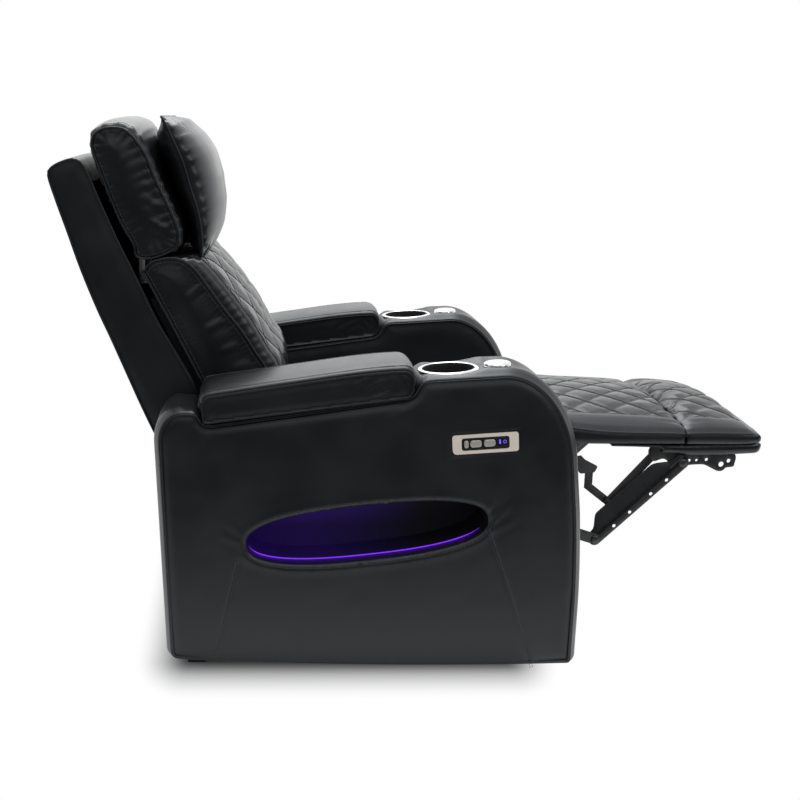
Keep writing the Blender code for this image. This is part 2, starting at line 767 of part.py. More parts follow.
def add_outer_panel(side, sign):
    """Upholstered outer side, crowned outwards, with the pocket's hole."""
    low, high = arm_at(0, 0), arm_at(1, 1)
    margin = OVERRUN * 2
    bm = bmesh.new()
    bmesh.ops.create_grid(bm, x_segments=PANEL_GRID[0], y_segments=PANEL_GRID[1], size=1)
    for vertex in bm.verts:
        y = low.x - margin + (vertex.co.x + 1) / 2 * (high.x - low.x + 2 * margin)
        z = low.y - margin + (vertex.co.y + 1) / 2 * (high.y - low.y + 2 * margin)
        vertex.co = (sign * (ARM_OUTER_X + panel_bump(y, z)), y, z)
    back = bmesh.ops.extrude_face_region(bm, geom=bm.faces[:])
    for item in back["geom"]:
        if isinstance(item, bmesh.types.BMVert):
            item.co.x = sign * (ARM_OUTER_X - OUTER_PANEL)
    panel = make("arm_outer_panel_" + side, finished(bm), "leather")
    reach = ARM_OUTER_X + PANEL_CROWN + OVERRUN
    combine(panel, prism(ARM_OUTLINE, sign * BAND_INNER_X, sign * reach), "INTERSECT")
    combine(panel, prism(pocket_outline(), sign * BAND_INNER_X, sign * reach))
    return panel


def add_pocket(side, sign):
    """The pocket's tub behind the panel, and the light along its lower lip."""
    mouth = ARM_OUTER_X - OUTER_PANEL - FIT
    back = mouth - POCKET_DEPTH
    shell = prism(pocket_outline(POCKET_WALL), sign * back, sign * mouth)
    tub = make("pocket_tub_" + side, shell, "plastic")
    combine(tub, prism(pocket_outline(), sign * (back + POCKET_WALL), sign * (mouth + OVERRUN)))
    outer = pocket_outline(-FIT, LIGHT_START_SHARE, LIGHT_END_SHARE)
    inner = pocket_outline(-FIT - LIGHT_THICKNESS, LIGHT_START_SHARE, LIGHT_END_SHARE)
    near = mouth - FIT
    strip = prism(outer + inner[::-1], sign * (near - LIGHT_WIDTH), sign * near)
    make("pocket_light_" + side, strip, "light")


def tilted_box(middle, slope, half_along, low_up, high_up, x_low, x_high):
    """A box that leans with a slope, about a side-view point."""
    shape = [(-half_along, low_up), (half_along, low_up), (half_along, high_up), (-half_along, high_up)]
    return prism([Vector(middle) + turned(corner, slope) for corner in shape], x_low, x_high)


def add_band(side, sign):
    """The arm's closed band: front, deck, lid seat, rear and underside in one strip."""
    shape = prism(ARM_OUTLINE, sign * BAND_INNER_X, sign * BAND_OUTER_X)
    band = make("arm_band_" + side, shape, "leather")
    hollow = rounded(inset(ARM_CORNERS, BAND_WALL))
    combine(band, prism(hollow, sign * (BAND_INNER_X - OVERRUN), sign * (BAND_OUTER_X + OVERRUN)))
    start, end = seat_line(BIN_START_SHARE), seat_line(BIN_END_SHARE)
    half = (end - start).length / 2 + BIN_WALL + FIT
    low, high = BAND_INNER_X + BIN_SIDE_ROOM - FIT, BAND_OUTER_X - BIN_SIDE_ROOM + FIT
    across = sign * low, sign * high
    middle = (start + end) / 2
    combine(band, tilted_box(middle, SEAT_SLOPE, half, -BAND_WALL * 2, OVERRUN, *across))
    holes = (CUP_ALONG_SHARE, CUP_HOLE_RADIUS + CUP_WALL), (CAP_ALONG_SHARE, CAP_STEM_RADIUS)
    for along, radius in holes:
        bm = bmesh.new()
        bmesh.ops.create_cone(
            bm,
            cap_ends=True,
            segments=CUP_STEPS,
            radius1=radius + FIT * 2,
            radius2=radius + FIT * 2,
            depth=BAND_WALL * 4,
        )
        spot = deck(along)
        turn = Matrix.Rotation(DECK_TILT, 4, "X")
        lift = Matrix.Translation((sign * ARM_MIDDLE_X, *spot))
        bmesh.ops.transform(bm, verts=bm.verts, matrix=lift @ turn)
        combine(band, finished(bm))
    return band


def add_bin(side, sign):
    """The bin under the lid, hung by its flange on the lid's seat."""
    start, end = seat_line(BIN_START_SHARE), seat_line(BIN_END_SHARE)
    middle, half = (start + end) / 2, (end - start).length / 2
    low, high = BAND_INNER_X + BIN_SIDE_ROOM, BAND_OUTER_X - BIN_SIDE_ROOM
    body = tilted_box(middle, SEAT_SLOPE, half + BIN_WALL, -BIN_DEPTH, FIT * 2, sign * low, sign * high)
    tub = make("storage_bin_" + side, body, "plastic")
    flange = tilted_box(
        middle,
        SEAT_SLOPE,
        half + BIN_WALL + BIN_FLANGE,
        FIT,
        BIN_FLANGE_THICKNESS,
        sign * (low - BIN_FLANGE),
        sign * (high + BIN_FLANGE),
    )
    combine(tub, flange, "UNION")
    hollow = (sign * (low + BIN_WALL), sign * (high - BIN_WALL))
    combine(tub, tilted_box(middle, SEAT_SLOPE, half, -BIN_DEPTH + BIN_WALL, OVERRUN, *hollow))


def add_cup_holder(side, sign):
    wall = CUP_HOLE_RADIUS + CUP_WALL
    foot = CUP_HOLE_RADIUS - CUP_TAPER
    profile = (
        (0, CUP_WALL - CUP_DEPTH),
        (foot, CUP_WALL - CUP_DEPTH),
        (CUP_HOLE_RADIUS, CUP_RIM_HEIGHT / 2),
        (CUP_HOLE_RADIUS + CUP_WALL, CUP_RIM_HEIGHT),
        (CUP_RIM_RADIUS - CUP_WALL, CUP_RIM_HEIGHT),
        (CUP_RIM_RADIUS, CUP_RIM_HEIGHT / 2),
        (CUP_RIM_RADIUS, FIT),
        (wall, FIT),
        (foot + CUP_WALL, -CUP_DEPTH),
        (0, -CUP_DEPTH),
    )
    spot = (sign * ARM_MIDDLE_X, *deck(CUP_ALONG_SHARE))
    turning("cup_holder_" + side, profile, CUP_STEPS, "chrome", "chair", spot, DECK_TILT)


def add_tray_cap(side, sign):
    """The polished cap that plugs the tray table's socket, and lifts out."""
    spot = (sign * ARM_MIDDLE_X, *deck(CAP_ALONG_SHARE))
    add_pivot("tray_cap_" + side, spot[1:], spot[0])
    stem = CAP_STEM_RADIUS - PIN_ROOM
    dome = [(out * CAP_RADIUS, up * CAP_HEIGHT) for out, up in CAP_DOME_SHARES]
    profile = (
        *dome,
        (CAP_RADIUS, FIT),
        (stem, FIT),
        (stem, -CAP_STEM_LENGTH),
        (0, -CAP_STEM_LENGTH),
    )
    turning("tray_cap_" + side, profile, CAP_STEPS, "chrome", "tray_cap_" + side, spot, DECK_TILT)


def add_lid(side, sign):
    """The padded arm top that opens over the bin: board, pad and hinge leaf."""
    body = "arm_lid_" + side
    add_pivot(body, LID_HINGE)
    low, high = ARM_INNER_X + FIT * 2, ARM_OUTER_X + LID_OVERHANG
    span = (
        sign * (low + LID_BOARD_INSET),
        sign * (high - LID_BOARD_INSET),
    )
    front = seat_line(LID_FRONT_SHARE + LID_BOARD_INSET / ARM_LENGTH, LID_GAP)
    rear = seat_line(LID_REAR_SHARE, LID_GAP)
    up = turned((0, LID_BOARD), SEAT_SLOPE)
    board = make("lid_board_" + side, prism([front, rear, rear + up, front + up], *span), "board", body)
    middle = sign * ARM_MIDDLE_X
    leaf = (middle - LID_LEAF_WIDTH / 2, middle + LID_LEAF_WIDTH / 2)
    tip = LID_HINGE - Vector((LID_LEAF / 2, 0))
    root = rear - Vector((LID_LEAF, 0))
    across = Vector((LID_LEAF, 0))
    combine(board, prism([root - across, root + across, tip + across / 2, tip - across / 2], *leaf), "UNION")
    combine(board, rod(LID_HINGE, *leaf, LID_BARREL), "UNION")
    base = LID_GAP + LID_BOARD + FIT
    outline = []
    for along, up, full in LID_PAD_SHARES:
        share = LID_FRONT_SHARE + along * (LID_REAR_SHARE - LID_FRONT_SHARE)
        outline.append((*seat_line(share, base + up * LID_PAD), full))
    centre = sign * (low + high) / 2
    cushion("lid_pad_" + side, outline, (high - low) / 2, LID_CROWN, body, centre)


def plate_point(along, up, middle):
    return middle + turned((along, up), -PLATE_TILT)


def add_switches(panel):
    """Plate, housing, button and rockers in the right arm's panel. Its front end is higher."""
    middle = arm_at(PLATE_ALONG_SHARE, PLATE_UP_SHARE)
    face = -(ARM_OUTER_X + panel_bump(*middle) + PLATE_PROUD)

    def rectangle(along, length, height, radius, grow=0.0):
        a, b = length / 2 + grow, height / 2 + grow
        corners = ((-a, -b), (a, -b), (a, b), (-a, b))
        return same_round([plate_point(-along + u, v, middle) for u, v in corners], radius + grow)

    back = face + PLATE_THICKNESS
    seat = rectangle(0, PLATE_LENGTH, PLATE_HEIGHT, PLATE_ROUND, FIT)
    combine(panel, prism(seat, face - PANEL_CROWN, back + FIT))
    deep = face + INSET_DEPTH
    hole = rectangle(0, INSET_LENGTH, INSET_HEIGHT, PLATE_ROUND, FIT)
    combine(panel, prism(hole, face, ARM_INNER_X - ARM_OUTER_X))
    shape = prism(rectangle(0, PLATE_LENGTH, PLATE_HEIGHT, PLATE_ROUND), face, back)
    bezel = make("switch_plate", shape, "satin metal")
    combine(bezel, prism(hole, face - OVERRUN, back + OVERRUN))
    front = face + PLATE_THICKNESS / 3
    inset_shape = rectangle(0, INSET_LENGTH, INSET_HEIGHT, PLATE_ROUND)
    housing = make("switch_housing", prism(inset_shape, front, deep), "plastic")
    keys = [("power_button", BUTTON_ALONG, BUTTON_LENGTH)]
    keys += [(n, a, ROCKER_LENGTH) for n, a in zip(("recline_rocker", "headrest_rocker"), ROCKER_ALONG)]
    for name, along, length in keys:
        well = rectangle(along, length, KEY_HEIGHT, KEY_ROUND, KEY_ROOM)
        combine(housing, prism(well, front - OVERRUN, front + KEY_WELL))
        add_pivot(name, plate_point(-along, 0, middle), front + KEY_DEPTH)
        shape = rectangle(along, length, KEY_HEIGHT, KEY_ROUND)
        make(name, prism(shape, front - KEY_PROUD, front + KEY_DEPTH), "key", name)
    port = rectangle(PORT_ALONG, PORT_LENGTH, KEY_HEIGHT, KEY_ROOM)
    combine(housing, prism(port, front - OVERRUN, front + KEY_WELL))


def add_arm(side, sign):
    panel = add_outer_panel(side, sign)
    make(
        "arm_inner_panel_" + side,
        prism(ARM_OUTLINE, sign * ARM_INNER_X, sign * (ARM_INNER_X + INNER_PANEL)),
        "leather",
    )
    add_band(side, sign)
    add_pocket(side, sign)
    add_bin(side, sign)
    add_cup_holder(side, sign)
    add_tray_cap(side, sign)
    add_lid(side, sign)
    start, end = arm_at(SKID_START_SHARE, 0).x, arm_at(SKID_END_SHARE, 0).x
    low, high = ARM_MIDDLE_X - SKID_WIDTH / 2, ARM_MIDDLE_X + SKID_WIDTH / 2
    top = arm_at(0, ARM_CORNER_SHARES[0][1]).y - FIT
    shape = box((sign * low, start, top - SKID_PLATE), (sign * high, end, top))
    skid = make("foot_skid_" + side, shape, "plastic")
    for near, far in ((start, start + SKID_FOOT), (end - SKID_FOOT, end)):
        combine(skid, box((sign * low, near, 0), (sign * high, far, top - SKID_PLATE / 2)), "UNION")
    if sign < 0:
        add_switches(panel)


def add_seat():
    """Frame on the side plates, the spring on it and the cushion on the spring."""
    top = SEAT_BASE - SPRING_ROOM
    low = top - FRAME_HEIGHT
    start, end = seat_at(0, 0).x + FRAME_INSET, seat_at(1, 0).x - FRAME_INSET
    outer = CRANK_X - FRAME_ROOM
    frame = make("seat_frame", box((-outer, start, low), (outer, end, top)), "board")
    inner = outer - FRAME_RAIL
    hole = ((-inner, start + FRAME_RAIL, low - OVERRUN), (inner, end - FRAME_RAIL, top + OVERRUN))
    combine(frame, box(*hole))
    reach = PLATE_X - FIT
    for share in TIE_SHARES:
        y = seat_at(share, 0).x
        combine(frame, box((-reach, y, low), (reach, y + TIE_WIDTH, low + FRAME_HEIGHT / 2)), "UNION")
    radius = SPRING_RADIUS
    level = top + FIT + radius
    route = []
    for run in range(SPRING_RUNS):
        x = inner * (2 * run / (SPRING_RUNS - 1) - 1) * SPRING_SPREAD_SHARE
        ys = [start + FRAME_RAIL / 2, end - FRAME_RAIL / 2][:: 1 if run % 2 == 0 else -1]
        for k in range(2 * SPRING_WAVES + 1):
            swing = 0 if k in (0, 2 * SPRING_WAVES) else SPRING_WAVE * (1 if k % 2 else -1)
            route.append((x + swing, ys[0] + (ys[1] - ys[0]) * k / (2 * SPRING_WAVES), level))
    curve = bpy.data.curves.new("seat_spring", "CURVE")
    curve.dimensions = "3D"
    curve.bevel_depth = radius
    curve.bevel_resolution = 0
    curve.use_fill_caps = True
    spline = curve.splines.new("POLY")
    spline.points.add(len(route) - 1)
    for corner, spot in zip(spline.points, route):
        corner.co = (*spot, 1)
    make("seat_spring", curve, "zinc")
    outline = [(*seat_at(y, z), full) for y, z, full in SEAT_SHARES]
    cushion("seat_cushion", outline, CUSHION_HALF, SEAT_CROWN, "chair", tufts=(7, 8, 9, 10))


def side_plate_corners():
    """The plate's corners round the three pivots that it carries, on a level foot and under the seat."""
    high = SEAT_BASE - PLATE_BELOW_SEAT
    rear = [BACK_PIVOT + Vector(share) * PLATE_EDGE for share in BACK_EDGE_SHARES]
    crank = [CRANK_PIVOT + Vector(share) * PLATE_EDGE for share in CRANK_EDGE_SHARES]
    drive = [DRIVE_PIVOT + Vector(share) * PLATE_EDGE for share in DRIVE_EDGE_SHARES]
    rear[0].y = drive[1].y = PLATE_LOW
    rear[-1].y = crank[0].y = high
    return [drive[1], *rear, *crank, drive[0]]


def add_base():
    """Side plates with their bearings, and the cross tubes between them."""
    outline = same_round(side_plate_corners(), SIDE_PLATE_ROUND)
    bore = TUBE_RADIUS + BORE_ROOM
    for side, sign in SIDES:
        inner, outer = sign * PLATE_X, sign * (PLATE_X + SIDE_PLATE)
        plate = make("side_plate_" + side, prism(outline, inner, outer), "steel")
        for point in (DRIVE_PIVOT, BACK_PIVOT):
            combine(plate, rod(point, inner - sign * OVERRUN, outer + sign * OVERRUN, bore))
        combine(plate, rod(CRANK_PIVOT, sign * (CRANK_X - PIN_PROUD), outer, PIN_RADIUS), "UNION")
        for y in (DRIVE_PIVOT.x + BOLT_BEHIND_DRIVE, BACK_PIVOT.x - BOLT_BEFORE_BACK):
            spacer = rod((y, ARM_BOLT_UP), inner, sign * (ARM_INNER_X - FIT), ARM_BOLT)
            combine(plate, spacer, "UNION")
    reach = PLATE_X - FIT
    front, rear = SEAT_FRONT + CROSS_BEHIND_SEAT_FRONT, BACK_PIVOT_Y + CROSS_BEHIND_BACK
    for name, y in (("front", front), ("rear", rear)):
        make("cross_tube_" + name, rod(Vector((y, CROSS_UP)), -reach, reach, TUBE_RADIUS), "steel")


def add_drive(name, ends, x, motor_at_rear, pin, low_pin):
    """A motor and guide tube on the cross tubes, and the block that its screw moves along the tube."""
    base = CROSS_UP + TUBE_RADIUS + FIT
    half = GUIDE_TUBE / 2
    start, end = ends
    tube = box((x - half, start, base), (x + half, end, base + GUIDE_TUBE))
    motor = make(name + "_motor", tube, "plastic")
    near = end - OVERRUN if motor_at_rear else start + OVERRUN
    far = near + MOTOR_LENGTH if motor_at_rear else near - MOTOR_LENGTH
    wide = MOTOR_WIDTH / 2
    combine(motor, box((x - wide, near, base), (x + wide, far, base + MOTOR_HEIGHT)), "UNION")
    if name == "recline":
        inlet = rod((far, base + MOTOR_HEIGHT / 2), 0, INLET_DEPTH * 2, INLET_RADIUS)
        inlet.transform(Matrix.Rotation(math.pi / 2, 4, "Z"))
        inlet.transform(Matrix.Translation((x + far, far - INLET_DEPTH, 0)))
        combine(motor, inlet)
    block_name = name + "_block"
    add_pivot(block_name, pin)
    top = pin.y + low_pin + DRIVE_PIN + BLOCK_WALL
    room = 2 * FIT
    wide = BLOCK_WIDTH / 2
    shape = box((x - wide, pin.x - BLOCK_LENGTH / 2, base + room), (x + wide, pin.x + BLOCK_LENGTH / 2, top))
    block = make(block_name, shape, "plastic", block_name)
    cut = half + room
    roof = base + GUIDE_TUBE + room
    near, far = pin.x - BLOCK_LENGTH, pin.x + BLOCK_LENGTH
    combine(block, box((x - cut, near, base - OVERRUN), (x + cut, far, roof)))
    slot = DRIVE_PIN + SLOT_ROOM
    low = pin.y - low_pin - slot
    reach = wide + OVERRUN
    combine(block, box((x - reach, pin.x - slot, low), (x + reach, pin.x + slot, top + OVERRUN)))


def lever_shapes(pivot, pin, x):
    """A lever of two plates that straddle the block, and the pin between them."""
    near = BLOCK_WIDTH / 2 + FIT * 2
    shapes = []
    for sign in (-1, 1):
        side = x + sign * near
        shapes.append(prism(strap((pivot, pin), LEVER_HALF), side, side + sign * LEVER_PLATE))
    shapes.append(rod(pin, x - near - LEVER_PLATE, x + near + LEVER_PLATE, DRIVE_PIN))
    return shapes


def add_footrest_drive():
    """The torque tube with its lever and the two drive arms, and its motor."""
    body = "drive_shaft"
    add_pivot(body, DRIVE_PIVOT)
    reach = ARM_INNER_X - SIDE_ROOM - FIT
    shaft = make("drive_shaft", rod(DRIVE_PIVOT, -reach, reach, TUBE_RADIUS), "steel", body)
    for _, sign in SIDES:
        bar = prism(strap((DRIVE_PIVOT, LINK_LOW), LINK_HALF), sign * ARM_X, sign * (ARM_X + ARM_LINK))
        combine(shaft, bar, "UNION")
        hole = PIN_RADIUS + PIN_ROOM
        ends = sign * (ARM_X - OVERRUN), sign * (ARM_X + ARM_LINK + OVERRUN)
        combine(shaft, rod(LINK_LOW, *ends, hole))
    pin = DRIVE_PIVOT + turned((0, -FOOT_LEVER), -FOOT_SWING / 2)
    for shape in lever_shapes(DRIVE_PIVOT, pin, DRIVE_X):
        combine(shaft, shape, "UNION")
    dip = FOOT_LEVER * (1 - math.cos(FOOT_SWING / 2))
    ends = DRIVE_PIVOT.x - FOOT_TUBE_BEFORE, DRIVE_PIVOT.x + FOOT_TUBE_BEHIND
    add_drive("footrest", ends, DRIVE_X, True, pin, dip)


def add_links():
    """The channel link, the guide link and the bent crank on each side of the footrest."""
    add_pivot("channel_links", LINK_LOW)
    add_pivot("guide_links", GUIDE_HIGH)
    add_pivot("crank_links", CRANK_PIVOT)
    hole = PIN_RADIUS + PIN_ROOM
    for side, sign in SIDES:
        low, high = sign * CHANNEL_X, sign * (CHANNEL_X + CHANNEL_DEPTH)
        shape = prism(strap((LINK_LOW, LINK_HIGH), CHANNEL_HALF), low, high)
        channel = make("channel_link_" + side, shape, "steel", "channel_links")
        ends = [LINK_LOW.lerp(LINK_HIGH, share) for share in GROOVE_SHARES]
        width = CHANNEL_HALF - CHANNEL_LIP
        groove = prism(strap(ends, width), low + sign * CHANNEL_WEB, high + sign * OVERRUN)
        combine(channel, groove)
        combine(channel, rod(LINK_LOW, low, sign * (ARM_X + ARM_LINK + PIN_PROUD), PIN_RADIUS), "UNION")
        combine(channel, rod(LINK_HIGH, sign * (FOOT_BRACKET_X - PIN_PROUD), high, PIN_RADIUS), "UNION")
        for share in CHANNEL_HOLE_SHARES:
            spot = LINK_LOW.lerp(LINK_HIGH, share)
            through = low - sign * OVERRUN, high + sign * OVERRUN
            combine(channel, rod(spot, *through, CHANNEL_HOLE, ROD_SIDES // 2))
        low, high = sign * GUIDE_X, sign * (GUIDE_X + GUIDE_LINK)
        shape = prism(strap((GUIDE_HIGH, GUIDE_LOW), GUIDE_HALF), low, high)
        guide = make("guide_link_" + side, shape, "steel", "guide_links")
        pin_end = sign * (FOOT_BRACKET_X + FOOT_BRACKET + PIN_PROUD)
        combine(guide, rod(GUIDE_HIGH, low, pin_end, PIN_RADIUS), "UNION")
        combine(guide, rod(GUIDE_LOW, low - sign * OVERRUN, high + sign * OVERRUN, hole))
        low, high = sign * CRANK_X, sign * (CRANK_X + CRANK_LINK)
        bends = [foot_at(*share) for share in CRANK_BEND_SHARES]
        shape = prism(strap([CRANK_PIVOT, *bends, GUIDE_LOW], CRANK_HALF), low, high)
        crank = make("crank_link_" + side, shape, "steel", "crank_links")
        gusset = same_round([foot_at(*share) for share in GUSSET_SHARES], SLOT_RADIUS)
        combine(crank, prism(gusset, low, high), "UNION")
        combine(crank, rod(GUIDE_LOW, low, sign * (GUIDE_X + GUIDE_LINK + PIN_PROUD), PIN_RADIUS), "UNION")
        combine(crank, rod(CRANK_PIVOT, low - sign * OVERRUN, high + sign * OVERRUN, hole))


def add_footrest():
    """Brackets, board and the two pads that move as one."""
    body = "footrest"
    add_pivot(body, LINK_HIGH)
    hole = PIN_RADIUS + PIN_ROOM
    for side, sign in SIDES:
        low, high = sign * FOOT_BRACKET_X, sign * (FOOT_BRACKET_X + FOOT_BRACKET)
        outline = same_round([foot_at(*share) for share in FOOT_BRACKET_SHARES], FOOT_BRACKET_ROUND)
        bracket = make("footrest_bracket_" + side, prism(outline, low, high), "steel", body)
        ends = (low - sign * OVERRUN, high + sign * OVERRUN)
        for spot in (LINK_HIGH, GUIDE_HIGH):
            combine(bracket, rod(spot, *ends, hole))
        for slot in SLOT_SHARES:
            combine(bracket, prism(strap([foot_at(*share) for share in slot], SLOT_RADIUS), *ends))
    half = FOOT_HALF - SIDE_ROOM
    board = same_round([foot_at(*share) for share in BOARD_SHARES], FIT)
    make("footrest_board", prism(board, -half, half), "leather", body)
    pad = [(*foot_at(y, z), full) for y, z, full in PAD_SHARES]
    cushion("footrest_pad", pad, FOOT_HALF, PAD_CROWN, body, tufts=(8, 9, 10))
    end = [(*foot_at(y, z), full) for y, z, full in END_SHARES]
    cushion("footrest_end_pad", end, FOOT_HALF, END_CROWN, body, tufts=(4, 5))


def add_back():
    """Frame, covers and cushion of the back, and the shaft that it turns on."""
    body = "back"
    add_pivot(body, BACK_PIVOT)
    half = CUSHION_HALF
    inner = half - BACK_WALL
    shell = same_round([back_at(*share) for share in SHELL_SHARES], SHELL_ROUND)
    frame = make("back_frame", prism(shell, -half, half), "leather", body)
    combine(frame, prism([back_at(*share) for share in HOLLOW_SHARES], -inner, inner))
    cover = [back_at(*share) for share in COVER_SHARES]
    make("back_cover", prism(cover, FIT - inner, inner - FIT), "leather", body)
    support = [back_at(*share) for share in SUPPORT_SHARES]
    make("back_support", prism(support, -inner, inner), "board", body)
    outline = [(*back_at(y, z), full) for y, z, full in LUMBAR_SHARES]
    cushion("lumbar_cushion", outline, half, LUMBAR_CROWN, body, tufts=(4, 5, 6, 7, 8))
    reach = half - FIT
    shaft = make("recline_shaft", rod(BACK_PIVOT, -reach, reach, TUBE_RADIUS), "steel", body)
    for _, sign in SIDES:
        bracket = same_round([back_at(*share) for share in BRACKET_SHARES], SLOT_RADIUS)
        combine(shaft, prism(bracket, sign * BRACKET_X, sign * (BRACKET_X + BRACKET_PLATE)), "UNION")
    middle = (BACK_UPRIGHT + BACK_RECLINED) / 2
    pin = BACK_PIVOT + turned((0, -BACK_LEVER), middle)
    for shape in lever_shapes(BACK_PIVOT, pin, -DRIVE_X):
        combine(shaft, shape, "UNION")
    dip = BACK_LEVER * (1 - math.cos((BACK_RECLINED - BACK_UPRIGHT) / 2))
    ends = BACK_PIVOT.x - BACK_TUBE_BEFORE, BACK_PIVOT.x + BACK_TUBE_BEHIND
    add_drive("recline", ends, -DRIVE_X, False, pin, dip)


def add_headrest():
    """The headrest's hinged plate, block and pillow, and the motor whose rod lifts them."""
    body = "headrest"
    add_pivot(body, HEAD_PIVOT)
    plate = [back_at(*share) for share in HEAD_ARM_SHARES]
    arm = make("headrest_arm", prism(plate, -HEAD_ARM_HALF, HEAD_ARM_HALF), "steel", body)
    low, thick, half = plate[0].y, HEAD_TONGUE, HEAD_ARM_HALF
    front = HEAD_PIVOT.x - thick / 2
    combine(arm, box((-half, front, low), (half, plate[0].x + thick, low + thick)), "UNION")
    combine(arm, box((-half, front, HEAD_PIVOT.y), (half, front + thick, low + thick / 2)), "UNION")
    combine(arm, rod(HEAD_PIVOT, -HEAD_BARREL_HALF, HEAD_BARREL_HALF, HEAD_BARREL), "UNION")

    side, y = HEAD_MOTOR_SIDE / 2, back_at(HEAD_ROD_ALONG_SHARE, 0).x
    lift = low - FIT
    top = lift - HEAD_STROKE - HEAD_MOTOR_LENGTH * HEAD_MOTOR_REST_SHARE
    foot = top - HEAD_MOTOR_LENGTH
    motor = make("headrest_motor", box((-side, y - side, foot), (side, y + side, top)), "plastic", "back")
    shelf = HEAD_PIVOT.y - HEAD_BARREL - FIT
    reach = HEAD_BARREL_HALF
    ears = reach - HEAD_EAR
    rear = y + side
    root = top - HEAD_MOUNT_ROOT
    combine(motor, box((-ears, rear - HEAD_MOUNT, root), (ears, rear, shelf)), "UNION")
    wall = CUSHION_HALF - BACK_WALL - FIT
    strip = box((-wall, rear - HEAD_MOUNT, root), (wall, rear, root + HEAD_MOUNT_STRIP))
    combine(motor, strip, "UNION")
    front = HEAD_PIVOT.x - HEAD_BARREL
    combine(motor, box((-reach, front, shelf - HEAD_MOUNT), (reach, rear, shelf)), "UNION")
    for _, sign in SIDES:
        ear = (sign * ears, front - HEAD_MOUNT, shelf - HEAD_MOUNT)
        end = front + 2 * HEAD_BARREL + HEAD_MOUNT
        combine(motor, box(ear, (sign * reach, end, HEAD_PIVOT.y + HEAD_EAR)), "UNION")
    through = reach + OVERRUN
    combine(motor, rod(HEAD_PIVOT, -through, through, HEAD_BARREL + PIN_ROOM))
    bore = HEAD_ROD_SIDE / 2 + 2 * FIT
    well = foot + side
    combine(motor, box((-bore, y - bore, well), (bore, y + bore, shelf + OVERRUN)))
    add_pivot("headrest_rod", (y, lift))
    half = HEAD_ROD_SIDE / 2
    screw = box((-half, y - half, well + OVERRUN), (half, y + half, lift))
    make("headrest_rod", screw, "zinc", "headrest_rod")
    block = [(*back_at(y, z), full) for y, z, full in BLOCK_SHARES]
    cushion("headrest_block", block, BLOCK_HALF, BLOCK_CROWN, body)
    pillow = [(*back_at(y, z), full) for y, z, full in PILLOW_SHARES]
    cushion("headrest_pillow", pillow, PILLOW_HALF, PILLOW_CROWN, body)


def centre_over_origin():
    """Stands the chair on z = 0 with its box centred over the origin."""
    bpy.context.view_layer.update()
    graph = bpy.context.evaluated_depsgraph_get()
    spots = []
    for obj in PARTS.objects:
        if obj.type == "EMPTY":
            continue
        seen = obj.evaluated_get(graph)
        mesh = seen.to_mesh()
        spots += [seen.matrix_world @ vertex.co for vertex in mesh.vertices]
        seen.to_mesh_clear()
    low = [min(spot[i] for spot in spots) for i in range(3)]
    high = [max(spot[i] for spot in spots) for i in range(3)]
    ORIGIN.location = (-(low[0] + high[0]) / 2, -(low[1] + high[1]) / 2, -low[2])
    bpy.context.view_layer.update()
    print("origin", [round(v, 5) for v in ORIGIN.location])
    for name, pivot in PIVOTS.items():
        print("pivot", name, [round(v, 5) for v in pivot.matrix_world.translation])


add_pivot("chair")
for side_name, side_sign in SIDES:
    add_arm(side_name, side_sign)
add_base()
add_seat()
add_footrest_drive()
add_links()
add_footrest()
add_back()
add_headrest()
centre_over_origin()
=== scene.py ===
"""Upholstery, hardware, finishes, studio and camera for the power recliner chair.

It stands with its footrest out, facing -Y, and the sitter's right arm, at -X, is nearest the camera."""
import math

import bpy
import bmesh
import numpy as np
from mathutils import Matrix, Vector, geometry
from mathutils.kdtree import KDTree


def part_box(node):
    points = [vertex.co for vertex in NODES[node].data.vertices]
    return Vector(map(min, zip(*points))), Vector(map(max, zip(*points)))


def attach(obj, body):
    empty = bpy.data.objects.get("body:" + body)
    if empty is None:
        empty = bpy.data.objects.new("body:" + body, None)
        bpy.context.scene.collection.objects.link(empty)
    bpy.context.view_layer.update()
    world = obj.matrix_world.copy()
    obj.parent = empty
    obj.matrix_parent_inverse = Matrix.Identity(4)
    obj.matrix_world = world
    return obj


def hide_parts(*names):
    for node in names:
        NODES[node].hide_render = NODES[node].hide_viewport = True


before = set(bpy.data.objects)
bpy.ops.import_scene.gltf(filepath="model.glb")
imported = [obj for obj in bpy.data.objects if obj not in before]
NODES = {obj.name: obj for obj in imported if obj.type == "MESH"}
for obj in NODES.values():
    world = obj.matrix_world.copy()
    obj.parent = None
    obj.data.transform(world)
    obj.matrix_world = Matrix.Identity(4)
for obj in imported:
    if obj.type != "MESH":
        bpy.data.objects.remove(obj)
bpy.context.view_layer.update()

MM = 0.001
SIDES = (("right", -1), ("left", 1))
# The tables below are in the chair's own side view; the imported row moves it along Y
SEAT_FRAME_FRONT = -0.371
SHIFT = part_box("seat_frame")[0][1] - SEAT_FRAME_FRONT

# Shape helpers


def smoothstep(low, high, value):
    t = np.clip((value - low) / (high - low), 0.0, 1.0)
    return t * t * (3 - 2 * t)


def bell(value, width):
    return np.exp(-((value / width) ** 2))


def wobble(value, seed=0.0):
    """A slow wandering line between about -1 and 1, the same each run."""
    waves = ((1.0, 1.0, 1.0), (0.6, 2.17, 1.3), (0.4, 4.61, 2.1))
    return sum(share * np.sin(value * pace + lead * seed) for share, pace, lead in waves) / 2.0


def unit(arrows):
    return arrows / np.maximum(np.linalg.norm(arrows, axis=-1, keepdims=True), 1e-12)


def course(path, closed=True):
    """Which way a path runs at each of its points."""
    return unit(np.roll(path, -1, 0) - np.roll(path, 1, 0) if closed else np.gradient(path, axis=0))


